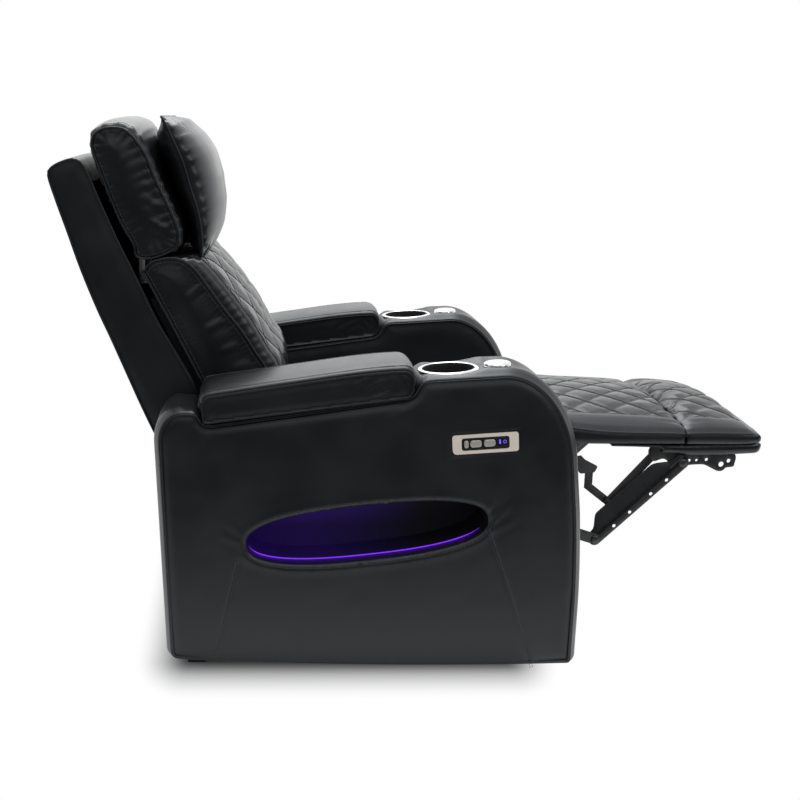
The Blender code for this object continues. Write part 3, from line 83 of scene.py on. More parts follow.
def outward(loop, closed=True):
    """The unit normals of a side-view outline, pointing out of it."""
    loop = np.asarray(loop, float)
    along, following = course(loop, closed), np.roll(loop, -1, 0)
    area = np.sum(loop[:, 0] * following[:, 1] - following[:, 0] * loop[:, 1])
    return np.column_stack((-along[:, 1], along[:, 0])) * (-1 if area > 0 else 1)


def at_x(x, line):
    """A side-view line's points at a place, or places, across the chair."""
    return np.column_stack((np.broadcast_to(x, len(line)), line))


def run_length(line):
    """How far along a line each of its points is."""
    return np.concatenate(([0], np.cumsum(np.linalg.norm(np.diff(line, axis=0), axis=1))))


def turned(spots, middle, tilt):
    """Places in a tilted piece's own axes, as they lie in the side view."""
    c, s = math.cos(-tilt), math.sin(-tilt)
    y, z = spots[:, 0], spots[:, 1]
    return np.column_stack((middle[0] + c * y - s * z, middle[1] + s * y + c * z))


def circle(count):
    angles = np.linspace(0, math.tau, count, endpoint=False)
    return np.column_stack((np.cos(angles), np.sin(angles)))


def inset(corners, distance):
    """The same corners moved inside by a distance."""
    turning = sum(a[0] * b[1] - b[0] * a[1] for a, b in zip(corners, corners[1:] + corners[:1]))
    inward = 1 if turning > 0 else -1
    moved = []
    for i, (y, z, before, after) in enumerate(corners):
        here = Vector((y, z))
        into = (here - Vector(corners[i - 1][:2])).normalized()
        out = (Vector(corners[(i + 1) % len(corners)][:2]) - here).normalized()
        normal_in, normal_out = Vector((-into.y, into.x)) * inward, Vector((-out.y, out.x)) * inward
        shift = (normal_in + normal_out) * distance / (1 + normal_in.dot(normal_out))
        bend = (into.x * out.y - into.y * out.x) * inward
        change = -distance if bend > 0 else distance
        moved.append((*(here + shift), *(max(r + change, abs(distance) / 4) for r in (before, after))))
    return moved


def corner_loop(corners, step, like=None):
    """A closed outline with short cubics at its corners. like repeats the counts of another loop."""
    handle = 0.55
    curves = []
    for i, (y, z, before, after) in enumerate(corners):
        here = Vector((y, z))
        start = here + (Vector(corners[i - 1][:2]) - here).normalized() * before
        end = here + (Vector(corners[(i + 1) % len(corners)][:2]) - here).normalized() * after
        curves.append((start, start.lerp(here, handle), end.lerp(here, handle), end))
    points, counts = [], []
    for i, (start, first, second, end) in enumerate(curves):
        following = curves[(i + 1) % len(curves)][0]
        bends = max(4, math.ceil((start - end).length * 1.1 / step))
        runs = max(1, math.ceil((following - end).length / step))
        if like:
            bends, runs = like[i]
        counts.append((bends, runs))
        for t in (k / bends for k in range(bends)):
            ends = start * (1 - t) ** 3 + end * t**3
            points.append(ends + first * 3 * t * (1 - t) ** 2 + second * 3 * t * t * (1 - t))
        points += [end.lerp(following, k / runs) for k in range(runs)]
    return np.array([tuple(p) for p in points]) + (SHIFT, 0), counts


def even(points, step, closed=True):
    """The same line with points at even steps."""
    points = np.asarray(points, float)
    if closed:
        points = np.vstack((points, points[:1]))
    lengths = run_length(points)
    count = max(3, round(lengths[-1] / step))
    spots = np.linspace(0, lengths[-1], count + (0 if closed else 1), endpoint=not closed)
    return np.column_stack([np.interp(spots, lengths, points[:, i]) for i in range(points.shape[1])])


def smooth_line(spots, step, closed=True, sharp=(), pieces=16):
    """A smooth line through spots at even steps. It may turn sharply at the spots that sharp marks."""
    spots, count = np.asarray(spots, float), len(spots)
    sharp = sharp or [False] * count
    drawn = []
    for i in range(count if closed else count - 1):
        j = (i + 1) % count
        one, two = spots[i], spots[j]
        before = spots[i - 1] if (closed or i) and not sharp[i] else 2 * one - two
        after = spots[(i + 2) % count] if (closed or i < count - 2) and not sharp[j] else 2 * two - one
        for t in (k / pieces for k in range(pieces)):
            bow = (2 * before - 5 * one + 4 * two - after) * t * t
            twist = (3 * one - before - 3 * two + after) * t**3
            drawn.append(0.5 * (2 * one + (two - before) * t + bow + twist))
    if not closed:
        drawn.append(spots[-1])
    return even(drawn, step, closed)


def inside(points, loop):
    """Which points lie inside an outline."""
    following = np.roll(loop, -1, 0)
    x, y = points[:, 0][:, None], points[:, 1][:, None]
    ax, ay, bx, by = loop[:, 0][None], loop[:, 1][None], following[:, 0][None], following[:, 1][None]
    crosses = (ay > y) != (by > y)
    with np.errstate(divide="ignore", invalid="ignore"):
        at = (bx - ax) * (y - ay) / (by - ay) + ax
    return np.sum(crosses & (x < at), axis=1) % 2 == 1


def within(points, border, holes):
    """Which points lie inside a border and outside its holes."""
    good = inside(points, border)
    for hole in holes:
        good &= ~inside(points, hole)
    return good


def edge_distance(points, loop):
    """How far each point is from an outline."""
    best = np.full(len(points), 1e9)
    span = np.roll(loop, -1, 0) - loop
    length = np.maximum(np.sum(span * span, 1), 1e-12)
    batch = 2000
    for start in range(0, len(points), batch):
        p = points[start : start + batch]
        t = np.clip(np.einsum("pij,ij->pi", p[:, None] - loop[None], span) / length, 0, 1)
        near = loop[None] + t[..., None] * span[None]
        best[start : start + batch] = np.min(np.linalg.norm(p[:, None] - near, axis=2), axis=1)
    return best


def flat_tree(points):
    tree = KDTree(len(points))
    for i, p in enumerate(points):
        tree.insert((p[0], p[1], 0), i)
    tree.balance()
    return tree


def fill(loop, spacing, holes=(), extra=()):
    """Triangles that fill an outline: its points, the holes' points, then points inside."""
    borders = [loop, *holes]
    edges, start = [], 0
    for border in borders:
        edges += [(start + i, start + (i + 1) % len(border)) for i in range(len(border))]
        start += len(border)
    low, high = loop.min(0), loop.max(0)
    rows = []
    for r, z in enumerate(np.arange(low[1], high[1], spacing * 0.87)):
        ys = np.arange(low[0] + (spacing / 2 if r % 2 else 0), high[0], spacing)
        rows.append(np.column_stack((ys, np.full(len(ys), z))))
    grid = np.vstack(rows)
    grid = grid[within(grid, loop, holes)]
    fixed = np.vstack([*borders, *extra])
    tree = flat_tree(fixed)
    keep = np.array([tree.find((p[0], p[1], 0))[2] > spacing * 0.6 for p in grid], bool)
    points = np.vstack((fixed, grid[keep]))
    flat, _, faces, origins, _, _ = geometry.delaunay_2d_cdt([Vector(p) for p in points], edges, [], 0, 1e-7)
    back = {old: new for new, olds in enumerate(origins) for old in olds}
    flat = np.array([tuple(p) for p in flat])
    faces = np.array([f for f in faces if len(f) == 3])
    good = within(flat[faces].mean(1), loop, holes)
    return flat, faces[good], [back[i] for i in range(len(points))]


class Skin:
    """Points and faces of one piece, gathered before its mesh is made."""

    def __init__(self):
        self.points, self.faces, self.slots, self.count = [], [], [], 0

    def add(self, points, faces, slot=0):
        self.points.append(np.asarray(points, float))
        self.faces += [tuple(int(v) + self.count for v in face) for face in faces]
        self.slots += [slot] * len(faces)
        self.count += len(points)

    def rows(self, rows, around=True, slot=0, keep=None, capped=False):
        """A grid of rows. around closes each row, keep leaves faces out, capped closes both ends."""
        rows = np.asarray(rows, float)
        high, wide = rows.shape[:2]
        faces = []
        for r in range(high - 1):
            for i in range(wide if around else wide - 1):
                j = (i + 1) % wide
                if keep is None or keep[r][i]:
                    faces.append((r * wide + i, r * wide + j, (r + 1) * wide + j, (r + 1) * wide + i))
        self.add(rows.reshape(-1, 3), faces, slot)
        if capped:
            for row in (rows[0], rows[-1]):
                self.add(row, [tuple(range(wide))])

    def build(self, name, *materials, weld=0.02 * MM):
        mesh = bpy.data.meshes.new(name)
        mesh.from_pydata(np.vstack(self.points).tolist(), [], self.faces)
        mesh.polygons.foreach_set("material_index", self.slots)
        bm = bmesh.new()
        bm.from_mesh(mesh)
        if weld:
            bmesh.ops.remove_doubles(bm, verts=bm.verts, dist=weld)
        bmesh.ops.delete(bm, geom=[v for v in bm.verts if not v.link_faces], context="VERTS")
        bmesh.ops.recalc_face_normals(bm, faces=bm.faces)
        for face in bm.faces:
            face.smooth = True
        bm.to_mesh(mesh)
        bm.free()
        obj = bpy.data.objects.new(name, mesh)
        bpy.context.scene.collection.objects.link(obj)
        for made in materials:
            mesh.materials.append(made)
        return obj


def ring_faces(rings, sides, closed=False):
    """The faces round a row of rings, capped where the row is open."""
    faces = []
    for r in range(rings if closed else rings - 1):
        here, after = r * sides, (r + 1) % rings * sides
        for i in range(sides):
            j = (i + 1) % sides
            faces.append((here + i, here + j, after + j, after + i))
    if not closed:
        faces += [tuple(range(sides))[::-1], tuple(range((rings - 1) * sides, rings * sides))]
    return faces


def add_tube(skin, path, radius, closed=True, sides=8):
    """A round cord along a path."""
    path = np.asarray(path, float)
    along = course(path, closed)
    current = np.array((1.0, 0.0, 0.0) if abs(along[0, 0]) <= 0.8 else (0.0, 0.0, 1.0))
    normals = np.empty_like(path)
    for i, t in enumerate(along):
        current = current - t * (current @ t)
        current /= np.linalg.norm(current)
        normals[i] = current
    across, ring = np.cross(along, normals), circle(sides)
    radius = np.broadcast_to(radius, len(path))[:, None, None]
    away = ring[None, :, :1] * normals[:, None] + ring[None, :, 1:] * across[:, None]
    rings = path[:, None] + radius * away
    skin.add(rings.reshape(-1, 3), ring_faces(len(path), sides, closed))


# A stitch's rings: where along it, and how thick there
STITCH_RINGS = ((-1.0, 0.35), (-0.8, 0.9), (0.0, 1.0), (0.8, 0.9), (1.0, 0.35))
STITCH_SIDES = 5
STITCH_PITCH, STITCH_LENGTH, STITCH_RADIUS = 6.0 * MM, 4.2 * MM, 0.55 * MM


def add_stitches(skin, path, normals, closed=False):
    """A row of sewn stitches that lie on a path, each sunk at its ends."""
    spots = even(np.column_stack((path, np.broadcast_to(normals, path.shape))), STITCH_PITCH, closed)
    centres, up = spots[:, :3], spots[:, 3:]
    along = course(centres, closed)
    up = unit(up - along * np.sum(up * along, 1, keepdims=True))
    shape = []
    for where, wide in STITCH_RINGS:
        sink = -0.5 * STITCH_RADIUS if abs(where) == 1.0 else 0.25 * STITCH_RADIUS
        for c, s in circle(STITCH_SIDES):
            round_it = c * wide * STITCH_RADIUS, s * wide * STITCH_RADIUS + sink
            shape.append((where * STITCH_LENGTH / 2, *round_it))
    shape = np.array(shape)[None]
    arms = (along, np.cross(along, up), up)
    points = centres[:, None] + sum(shape[..., i, None] * arm[:, None] for i, arm in enumerate(arms))
    one, size = ring_faces(len(STITCH_RINGS), STITCH_SIDES), shape.shape[1]
    faces = [tuple(v + n * size for v in face) for n in range(len(centres)) for face in one]
    skin.add(points.reshape(-1, 3), faces)


def row_normals(rows, index):
    """The surface's outward normals along one row of a grid."""
    along = np.roll(rows[index], -1, 0) - np.roll(rows[index], 1, 0)
    across = rows[min(index + 1, len(rows) - 1)] - rows[max(index - 1, 0)]
    normals = unit(np.cross(along, across))
    return -normals if np.sum(normals * (rows[index] - rows.reshape(-1, 3).mean(0))) < 0 else normals


def lathe(skin, profile, centre, tilt=0.0, steps=64, sideways=0, slot=0):
    """A turned form from (radius, height) in mm about an upright axis, or one out to a side."""
    ring = circle(steps)
    rows = []
    for radius, height in np.array(profile) * MM:
        flat = np.column_stack((ring * max(radius, 1e-6), np.full(steps, height)))
        if sideways:
            flat = np.column_stack((sideways * flat[:, 2], flat[:, 0], flat[:, 1]))
        rows.append(flat)
    turn = np.array(Matrix.Rotation(tilt, 3, "X"))
    skin.rows(np.array(rows) @ turn.T + np.asarray(centre), slot=slot)


SEAM_TWIN = 2.6 * MM


def quilt(across, along, diamond, puff, groove):
    """Diamond quilting: how far the cover stands out, less its twin rows of stitches."""
    wide, high = diamond
    scale = 1 / math.hypot(1 / wide, 1 / high)
    swell, twin = 1, 0
    for share in (across / wide + along / high, across / wide - along / high):
        off = np.abs(share - np.round(share)) * scale
        swell = swell * (1 - np.exp(-((off / groove) ** 2)))
        twin = twin + bell(off - SEAM_TWIN, 1.5 * MM)
    return puff * swell - 0.5 * MM * twin


def carve(obj, tool):
    """Cuts one closed mesh from another for good."""
    step = obj.modifiers.new("hollow", "BOOLEAN")
    step.operation, step.solver, step.object = "DIFFERENCE", "EXACT", tool
    apply_modifiers(obj)
    bpy.data.objects.remove(tool)


def apply_modifiers(obj):
    bpy.context.view_layer.update()
    mesh = bpy.data.meshes.new_from_object(obj.evaluated_get(bpy.context.evaluated_depsgraph_get()))
    obj.modifiers.clear()
    old, obj.data = obj.data, mesh
    bpy.data.meshes.remove(old)


# Finishes


def plug(tree, value, socket):
    """Sets a node's input to a value, or links another node's output to it."""
    if isinstance(value, bpy.types.NodeSocket):
        tree.links.new(value, socket)
    else:
        socket.default_value = value


def feed(tree, node, **values):
    for label, value in values.items():
        plug(tree, value, node.inputs[label.replace("_", " ")])


def put(tree, kind, **values):
    node = tree.nodes.new("ShaderNode" + kind)
    feed(tree, node, **values)
    return node


def object_place(tree):
    return put(tree, "TexCoord").outputs["Object"]


def noise(tree, place, scale, detail=3.0, roughness=0.5):
    return put(tree, "TexNoise", Vector=place, Scale=scale, Detail=detail, Roughness=roughness).outputs["Fac"]


def maths(tree, operation, *values, clamp=False):
    node = put(tree, "Math")
    node.operation, node.use_clamp = operation, clamp
    for value, socket in zip(values, node.inputs):
        plug(tree, value, socket)
    return node.outputs[0]


def spread(tree, value, low, high, to_low=0.0, to_high=1.0):
    node = put(tree, "MapRange", Value=value, From_Min=low, From_Max=high, To_Min=to_low, To_Max=to_high)
    return node.outputs["Result"]


def blend_colours(tree, fac, one, two):
    node = put(tree, "Mix")
    node.data_type = "RGBA"
    plug(tree, fac, node.inputs["Factor"])
    for label, value in (("A", one), ("B", two)):
        socket = next(s for s in node.inputs if s.name == label and s.type == "RGBA")
        plug(tree, (*value, 1.0) if isinstance(value, tuple) else value, socket)
    return next(s for s in node.outputs if s.type == "RGBA")


def group(name, inputs, *outputs):
    """A node group with named inputs, each with its usual value, and named outputs."""
    tree = bpy.data.node_groups.new(name, "ShaderNodeTree")
    for label, value in inputs:
        tree.interface.new_socket(label, in_out="INPUT", socket_type="NodeSocketFloat").default_value = value
    for label in outputs:
        tree.interface.new_socket(label, in_out="OUTPUT", socket_type="NodeSocketFloat")
    return tree, tree.nodes.new("NodeGroupInput").outputs, tree.nodes.new("NodeGroupOutput")


def leather_group():
    """Pebbled hide: its relief and a slow mottle."""
    sizes = (("Pebble Size", 520.0), ("Crease Size", 60.0), ("Crease Share", 0.35))
    tree, given, result = group("hide_grain", sizes, "Height", "Mottle")
    place = object_place(tree)
    cells = put(tree, "TexVoronoi")
    cells.feature = "SMOOTH_F1"
    feed(tree, cells, Vector=place, Scale=given["Pebble Size"])
    fine = maths(tree, "MULTIPLY", noise(tree, place, given["Pebble Size"], 2.0), 0.5)
    pebble = maths(tree, "ADD", maths(tree, "MULTIPLY", cells.outputs["Distance"], 0.8), fine)
    crease = noise(tree, place, given["Crease Size"], 4.0, 0.6)
    folds = maths(tree, "MULTIPLY", crease, given["Crease Share"])
    feed(tree, result, Height=maths(tree, "ADD", pebble, folds), Mottle=noise(tree, place, 9.0, 3.0))
    return tree


def wear_group():
    """Edges and scratches: a mask of worn edges, a smudge mask and a fine relief."""
    sizes = (("Edge Width", 0.9), ("Smudge Size", 35.0))
    tree, given, result = group("edge_and_smudge", sizes, "Edge", "Smudge", "Height")
    place = object_place(tree)
    edge = spread(tree, put(tree, "NewGeometry").outputs["Pointiness"], 0.52, 0.60)
    broken = maths(tree, "MULTIPLY", edge, noise(tree, place, 240.0, 4.0))
    edge = maths(tree, "MULTIPLY", broken, given["Edge Width"], clamp=True)
    smudge = spread(tree, noise(tree, place, given["Smudge Size"], 5.0, 0.6), 0.35, 0.7)
    feed(tree, result, Edge=edge, Smudge=smudge, Height=noise(tree, place, 900.0, 3.0))
    return tree


HIDE, WEAR = leather_group(), wear_group()


def material(name):
    made = bpy.data.materials.new(name)
    made.use_nodes = True
    return made, made.node_tree, made.node_tree.nodes["Principled BSDF"]


def use_group(tree, shared, **values):
    node = put(tree, "Group")
    node.node_tree = shared
    feed(tree, node, **values)
    return node.outputs


def bump(tree, shader, height, strength, distance):
    relief = put(tree, "Bump", Strength=strength, Distance=distance * MM, Height=height)
    feed(tree, shader, Normal=relief.outputs["Normal"])


def leather(name, dark=(0.0052, 0.0054, 0.0062), light=(0.0088, 0.0092, 0.0105), rough=(0.34, 0.46),
            coat=0.18, grain=0.16):
    """Bonded leather, near black with a cool cast and a soft sheen."""
    made, tree, shader = material(name)
    hide = use_group(tree, HIDE, Pebble_Size=520.0, Crease_Size=60.0, Crease_Share=0.35)
    colour = blend_colours(tree, spread(tree, hide["Mottle"], 0.3, 0.7), dark, light)
    feed(tree, shader, Base_Color=colour, Roughness=spread(tree, hide["Mottle"], 0.3, 0.7, *rough), IOR=1.5,
         Specular_Tint=(0.86, 0.94, 1.0, 1), Coat_Weight=coat, Coat_Roughness=0.24, Coat_IOR=1.45)
    bump(tree, shader, hide["Height"], grain, 0.5)
    return made


def hard_finish(name, base, worn, rough, metallic, edge=0.9, coat=0.0, grain=0.05, coat_rough=0.1):
    """A hard surface with smudges in its gloss and light wear on its edges."""
    made, tree, shader = material(name)
    wear = use_group(tree, WEAR, Edge_Width=edge, Smudge_Size=35.0)
    feed(tree, shader, Base_Color=blend_colours(tree, wear["Edge"], base, worn), Metallic=metallic,
         Roughness=spread(tree, wear["Smudge"], 0.0, 1.0, *rough))
    if coat:
        feed(tree, shader, Coat_Weight=coat, Coat_Roughness=coat_rough)
    bump(tree, shader, wear["Height"], grain, 0.2)
    return made


def thread_finish():
    made, tree, shader = material("sewing_thread")
    twist = put(tree, "TexWave", Vector=object_place(tree), Scale=700.0, Distortion=2.0).outputs["Fac"]
    colour = blend_colours(tree, twist, (0.012, 0.012, 0.014), (0.055, 0.056, 0.062))
    feed(tree, shader, Base_Color=colour, Roughness=0.55, Sheen_Weight=0.3)
    bump(tree, shader, twist, 0.3, 0.2)
    return made


def board_finish():
    made, tree, shader = material("frame_board")
    stretch = put(tree, "Mapping", Vector=object_place(tree), Scale=(1.0, 12.0, 12.0))
    fibre = noise(tree, stretch.outputs["Vector"], 14.0, 6.0, 0.65)
    feed(tree, shader, Base_Color=blend_colours(tree, fibre, (0.030, 0.026, 0.022), (0.070, 0.058, 0.046)),
         Roughness=spread(tree, fibre, 0.3, 0.7, 0.6, 0.8))
    bump(tree, shader, fibre, 0.25, 0.3)
    return made


def lining_finish():
    """Black dust cloth with a fine open weave."""
    made, tree, shader = material("dust_cloth")
    place = object_place(tree)
    weave, cross = (put(tree, "TexWave", Vector=place, Scale=420.0) for _ in range(2))
    cross.bands_direction = "Z"
    both = maths(tree, "MULTIPLY", weave.outputs["Fac"], cross.outputs["Fac"])
    colour = blend_colours(tree, both, (0.004, 0.004, 0.005), (0.014, 0.014, 0.016))
    feed(tree, shader, Base_Color=colour, Roughness=0.85)
    bump(tree, shader, both, 0.3, 0.3)
    return made


def glow(name, colour):
    made, tree, shader = material(name)
    ripple = noise(tree, object_place(tree), 60.0, 2.0)
    lit = blend_colours(tree, ripple, tuple(c * 0.75 for c in colour), colour)
    feed(tree, shader, Emission_Color=lit, Emission_Strength=1.2)
    feed(tree, shader, Base_Color=(0.05, 0.04, 0.08, 1), Roughness=0.4)
    return made


def pocket_lining_with_painted_glow():
    """The tub's lining, with the strip's violet light painted on it as emission: strong behind the rear and
    middle, none at the front.
    """
    made, tree, shader = material("pocket_lining_painted_glow")
    place = object_place(tree)
    parts = put(tree, "SeparateXYZ", Vector=place).outputs
    along = spread(tree, parts["Y"], POCKET_MIDDLE[0] - 0.13, POCKET_MIDDLE[0] + 0.12)
    up = spread(tree, parts["Z"], POCKET_MIDDLE[1] - 0.02, POCKET_MIDDLE[1] + 0.062, 0.18, 1.0)
    painted_spill = maths(tree, "MULTIPLY", maths(tree, "POWER", along, 1.3), up, clamp=True)
    lit = maths(tree, "MULTIPLY", painted_spill, spread(tree, noise(tree, place, 14.0, 2.0), 0.3, 0.7, 0.75, 1.0))
    grain = noise(tree, place, 700.0, 2.0)
    # Painted light: this emission stands in for the strip's light falling on the lining
    feed(tree, shader, Emission_Color=blend_colours(tree, lit, (0.0, 0.0, 0.0), POCKET_PAINTED_GLOW),
         Emission_Strength=0.34, Roughness=0.6,
         Base_Color=blend_colours(tree, grain, (0.004, 0.004, 0.006), (0.008, 0.008, 0.011)))
    bump(tree, shader, grain, 0.15, 0.3)
    return made


# The violet of the strip's light as painted on the pocket lining
POCKET_PAINTED_GLOW = (0.09, 0.008, 0.62)
LEATHER = leather("black_leather")
GATHERED = leather("gathered_leather", rough=(0.27, 0.38), coat=0.24)
PIPING = leather("piping_leather", (0.004, 0.0042, 0.005), (0.007, 0.0072, 0.0085), (0.38, 0.48), grain=0.1)
BOARD_HIDE = leather("board_leather", rough=(0.22, 0.32), coat=0.35, grain=0.08)
THREAD = thread_finish()
CHROME = hard_finish(
    "polished_chrome", (0.86, 0.87, 0.88), (0.93, 0.93, 0.94), (0.05, 0.13), 1.0, 0.3, grain=0.01
)
CHAMPAGNE = hard_finish(
    "champagne_metal", (0.62, 0.54, 0.45), (0.74, 0.67, 0.58), (0.34, 0.46), 0.0, grain=0.06
)
KEY_METAL = hard_finish("key_metal", (0.56, 0.53, 0.48), (0.70, 0.67, 0.62), (0.28, 0.38), 0.5, grain=0.04)
STEEL = hard_finish(
    "black_steel", (0.030, 0.031, 0.033), (0.16, 0.16, 0.165), (0.26, 0.42), 0.35, 0.8, 0.3, 0.1, 0.2
)
BRIGHT_STEEL = hard_finish(
    "bright_steel", (0.42, 0.43, 0.44), (0.62, 0.62, 0.63), (0.22, 0.36), 1.0, grain=0.08
)
PLASTIC = hard_finish(
    "moulded_plastic", (0.012, 0.012, 0.0135), (0.03, 0.03, 0.033), (0.38, 0.52), 0.0, grain=0.22
)
GLOSS_PLASTIC = hard_finish(
    "gloss_plastic", (0.008, 0.008, 0.010), (0.03, 0.03, 0.034), (0.12, 0.22), 0.0, coat=0.4, grain=0.03
)
BOARD, LINING = board_finish(), lining_finish()
LIGHT_STRIP = glow("violet_strip", (0.20, 0.012, 1.0))
ICON_LIGHT = glow("violet_icon", (0.18, 0.10, 1.0))

# Studio and camera

CAMERA_AT = (-2.87138, 0.35067, 1.11476)
CAMERA_YAW, CAMERA_PITCH, CAMERA_ROLL = math.radians(3.3281), math.radians(12.5347), math.radians(1.2)
CAMERA_LENS, CAMERA_SHIFT = 57.375, 0.1


def add_camera():
    yaw, pitch, roll = CAMERA_YAW, CAMERA_PITCH, CAMERA_ROLL
    right = Vector((-math.sin(yaw), -math.cos(yaw), 0))
    ahead = Vector((math.cos(yaw) * math.cos(pitch), -math.sin(yaw) * math.cos(pitch), -math.sin(pitch)))
    up = Vector((math.cos(yaw) * math.sin(pitch), -math.sin(yaw) * math.sin(pitch), math.cos(pitch)))
    side = right * math.cos(roll) + up * math.sin(roll)
    top = up * math.cos(roll) - right * math.sin(roll)
    camera = bpy.data.cameras.new("camera")
    camera.lens, camera.sensor_width, camera.shift_x = CAMERA_LENS, 36.0, CAMERA_SHIFT
    camera.dof.use_dof = False
    camera.clip_end = 100.0
    holder = bpy.data.objects.new("camera", camera)
    axes = Matrix((side, top, -ahead)).transposed().to_4x4()
    holder.matrix_world = Matrix.Translation(CAMERA_AT) @ axes
    bpy.context.scene.collection.objects.link(holder)
    bpy.context.scene.camera = holder


def seen_by_rays(tree):
    """1 for camera, mirror and see-through rays, which get the white backdrop."""
    path = put(tree, "LightPath").outputs
    both = maths(tree, "MAXIMUM", path["Is Camera Ray"], path["Is Glossy Ray"])
    return maths(tree, "MAXIMUM", both, path["Is Transmission Ray"]), path


def mix_shaders(tree, share, one, two):
    node = put(tree, "MixShader")
    for value, socket in zip((share, one, two), node.inputs):
        tree.links.new(value, socket)
    return node.outputs[0]


def add_world():
    """White beyond the chair and overhead, a dim studio behind the camera, and plain grey light."""
    world = bpy.data.worlds.new("studio")
    bpy.context.scene.world = world
    world.use_nodes = True
    tree = world.node_tree
    tree.nodes.clear()
    seen, path = seen_by_rays(tree)
    place = put(tree, "TexCoord").outputs["Generated"]
    facing = put(tree, "VectorMath")
    facing.operation = "DOT_PRODUCT"
    for value, socket in zip((place, (0.85, 0.0, 0.53)), facing.inputs):
        plug(tree, value, socket)
    studio = spread(tree, facing.outputs["Value"], -0.35, 0.40, 0.07, 1.0)
    above = spread(tree, put(tree, "SeparateXYZ", Vector=place).outputs["Z"], 0.15, 0.80, 0.07, 0.9)
    level = maths(tree, "MAXIMUM", maths(tree, "MAXIMUM", studio, above), path["Is Camera Ray"], clamp=True)
    backdrop = put(tree, "Background", Color=level).outputs[0]
    ambient = put(tree, "Background", Color=(0.96, 0.98, 1.0, 1), Strength=0.70).outputs[0]
    feed(tree, put(tree, "OutputWorld"), Surface=mix_shaders(tree, seen, ambient, backdrop))


# The chair's footprint under the floor's painted shadow: middles, then half sizes, in x and y
SHADOW_FOOTPRINT = ((0.0, 0.137), (0.37, 0.33))
SHADOW_REACH, SHADOW_STRETCH = (0.0, 0.20), (1.0, 1.7)
FLOOR_RINGS = (0.0001, 0.6, 1.2, 2.0, 3.5, 7.0, 14.0, 30.0)


def add_floor():
    """A white floor with a painted shadow: dark grey paper round the chair's footprint, which also takes the
    chair's real shadow, fading to white emission beyond; darker in reflections towards the camera.
    """
    made, tree, shader = material("studio_floor")
    tree.nodes.remove(shader)
    seen, path = seen_by_rays(tree)
    parts = put(tree, "SeparateXYZ", Vector=object_place(tree)).outputs
    gaps = []
    for label, middle, half, stretch in zip("XY", *SHADOW_FOOTPRINT, SHADOW_STRETCH):
        off = maths(tree, "ABSOLUTE", maths(tree, "SUBTRACT", parts[label], middle))
        gap = maths(tree, "MAXIMUM", maths(tree, "SUBTRACT", off, half), 0.0)
        gap = maths(tree, "MULTIPLY", gap, stretch)
        gaps.append(maths(tree, "MULTIPLY", gap, gap))
    far = spread(tree, maths(tree, "SQRT", maths(tree, "ADD", *gaps)), *SHADOW_REACH)
    ease = maths(tree, "SUBTRACT", 3.0, maths(tree, "MULTIPLY", far, 2.0))
    far = maths(tree, "MULTIPLY", maths(tree, "MULTIPLY", far, far), ease)
    # Painted shadow: near the footprint the floor is dark grey paper, which also takes the real shadow, and
    # beyond it white emission
    painted_shadow_paper = put(tree, "BsdfDiffuse", Color=(0.32, 0.32, 0.33, 1)).outputs[0]
    sideways = maths(tree, "SUBTRACT", 1.0, spread(tree, parts["X"], -1.5, -0.45, 0.06, 1.0))
    dimmed = maths(tree, "MULTIPLY", sideways, path["Is Glossy Ray"])
    beyond = put(tree, "Emission", Strength=maths(tree, "SUBTRACT", 1.0, dimmed)).outputs[0]
    plain = put(tree, "BsdfDiffuse", Color=(0.75, 0.75, 0.75, 1)).outputs[0]
    shown = mix_shaders(tree, seen, plain, mix_shaders(tree, far, painted_shadow_paper, beyond))
    feed(tree, tree.nodes["Material Output"], Surface=shown)
    skin = Skin()
    skin.rows([np.column_stack((r * circle(64), np.zeros(64))) for r in FLOOR_RINGS])
    skin.build("floor", made)


def add_lamp(name, spot, target, size, watts):
    lamp = bpy.data.lights.new(name, "AREA")
    lamp.shape, lamp.energy = "RECTANGLE", watts
    lamp.size, lamp.size_y = size
    holder = bpy.data.objects.new(name, lamp)
    holder.rotation_euler = (Vector(target) - Vector(spot)).to_track_quat("-Z", "Y").to_euler()
    holder.location = spot
    bpy.context.scene.collection.objects.link(holder)


add_camera()
add_world()
add_floor()
add_lamp("overhead", (0.75, 0.0, 3.0), (0.1, -0.05, 0.5), (1.7, 3.4), 68)
add_lamp("far_side", (3.4, 0.0, 1.9), (0, 0, 0.6), (4.0, 1.8), 8)
add_lamp("camera_side", (-2.6, -2.4, 2.6), (0, 0, 0.5), (1.6, 1.6), 11)

# Piece bookkeeping


def dress(obj, body, node, stands=False):
    """Hangs a piece on its body, and hides the CAD part that it stands for, if it does."""
    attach(obj, body)
    if stands:
        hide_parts(node)


def add_thread(skin, name, body, node):
    dress(skin.build(name, THREAD, weld=0), body, node)


def finish_node(name, made):
    """Gives a kept CAD part its finish."""
    materials = NODES[name].data.materials
    if not materials:
        materials.append(made)
    for i in range(len(materials)):
        materials[i] = made


# Arms

ARM_FRONT, ARM_LENGTH, DECK_HEIGHT = -0.431, 0.8565, 0.628
# The arm's corners as shares of it: along, up, and how far the bend reaches before and after
ARM_SHARES = (
    (0.002, 0.048, 0.012, 0.012), (0.000, 0.398, 0.140, 0.120), (0.049, 1.015, 0.215, 0.155),
    (0.391, 0.982, 0.020, 0.020), (0.414, 0.926, 0.011, 0.011), (0.890, 0.830, 0.011, 0.011),
    (0.907, 0.873, 0.016, 0.016), (1.002, 0.873, 0.058, 0.080), (0.970, 0.048, 0.020, 0.020),
)


def arm_at(along, up):
    return ARM_FRONT + along * ARM_LENGTH, up * DECK_HEIGHT


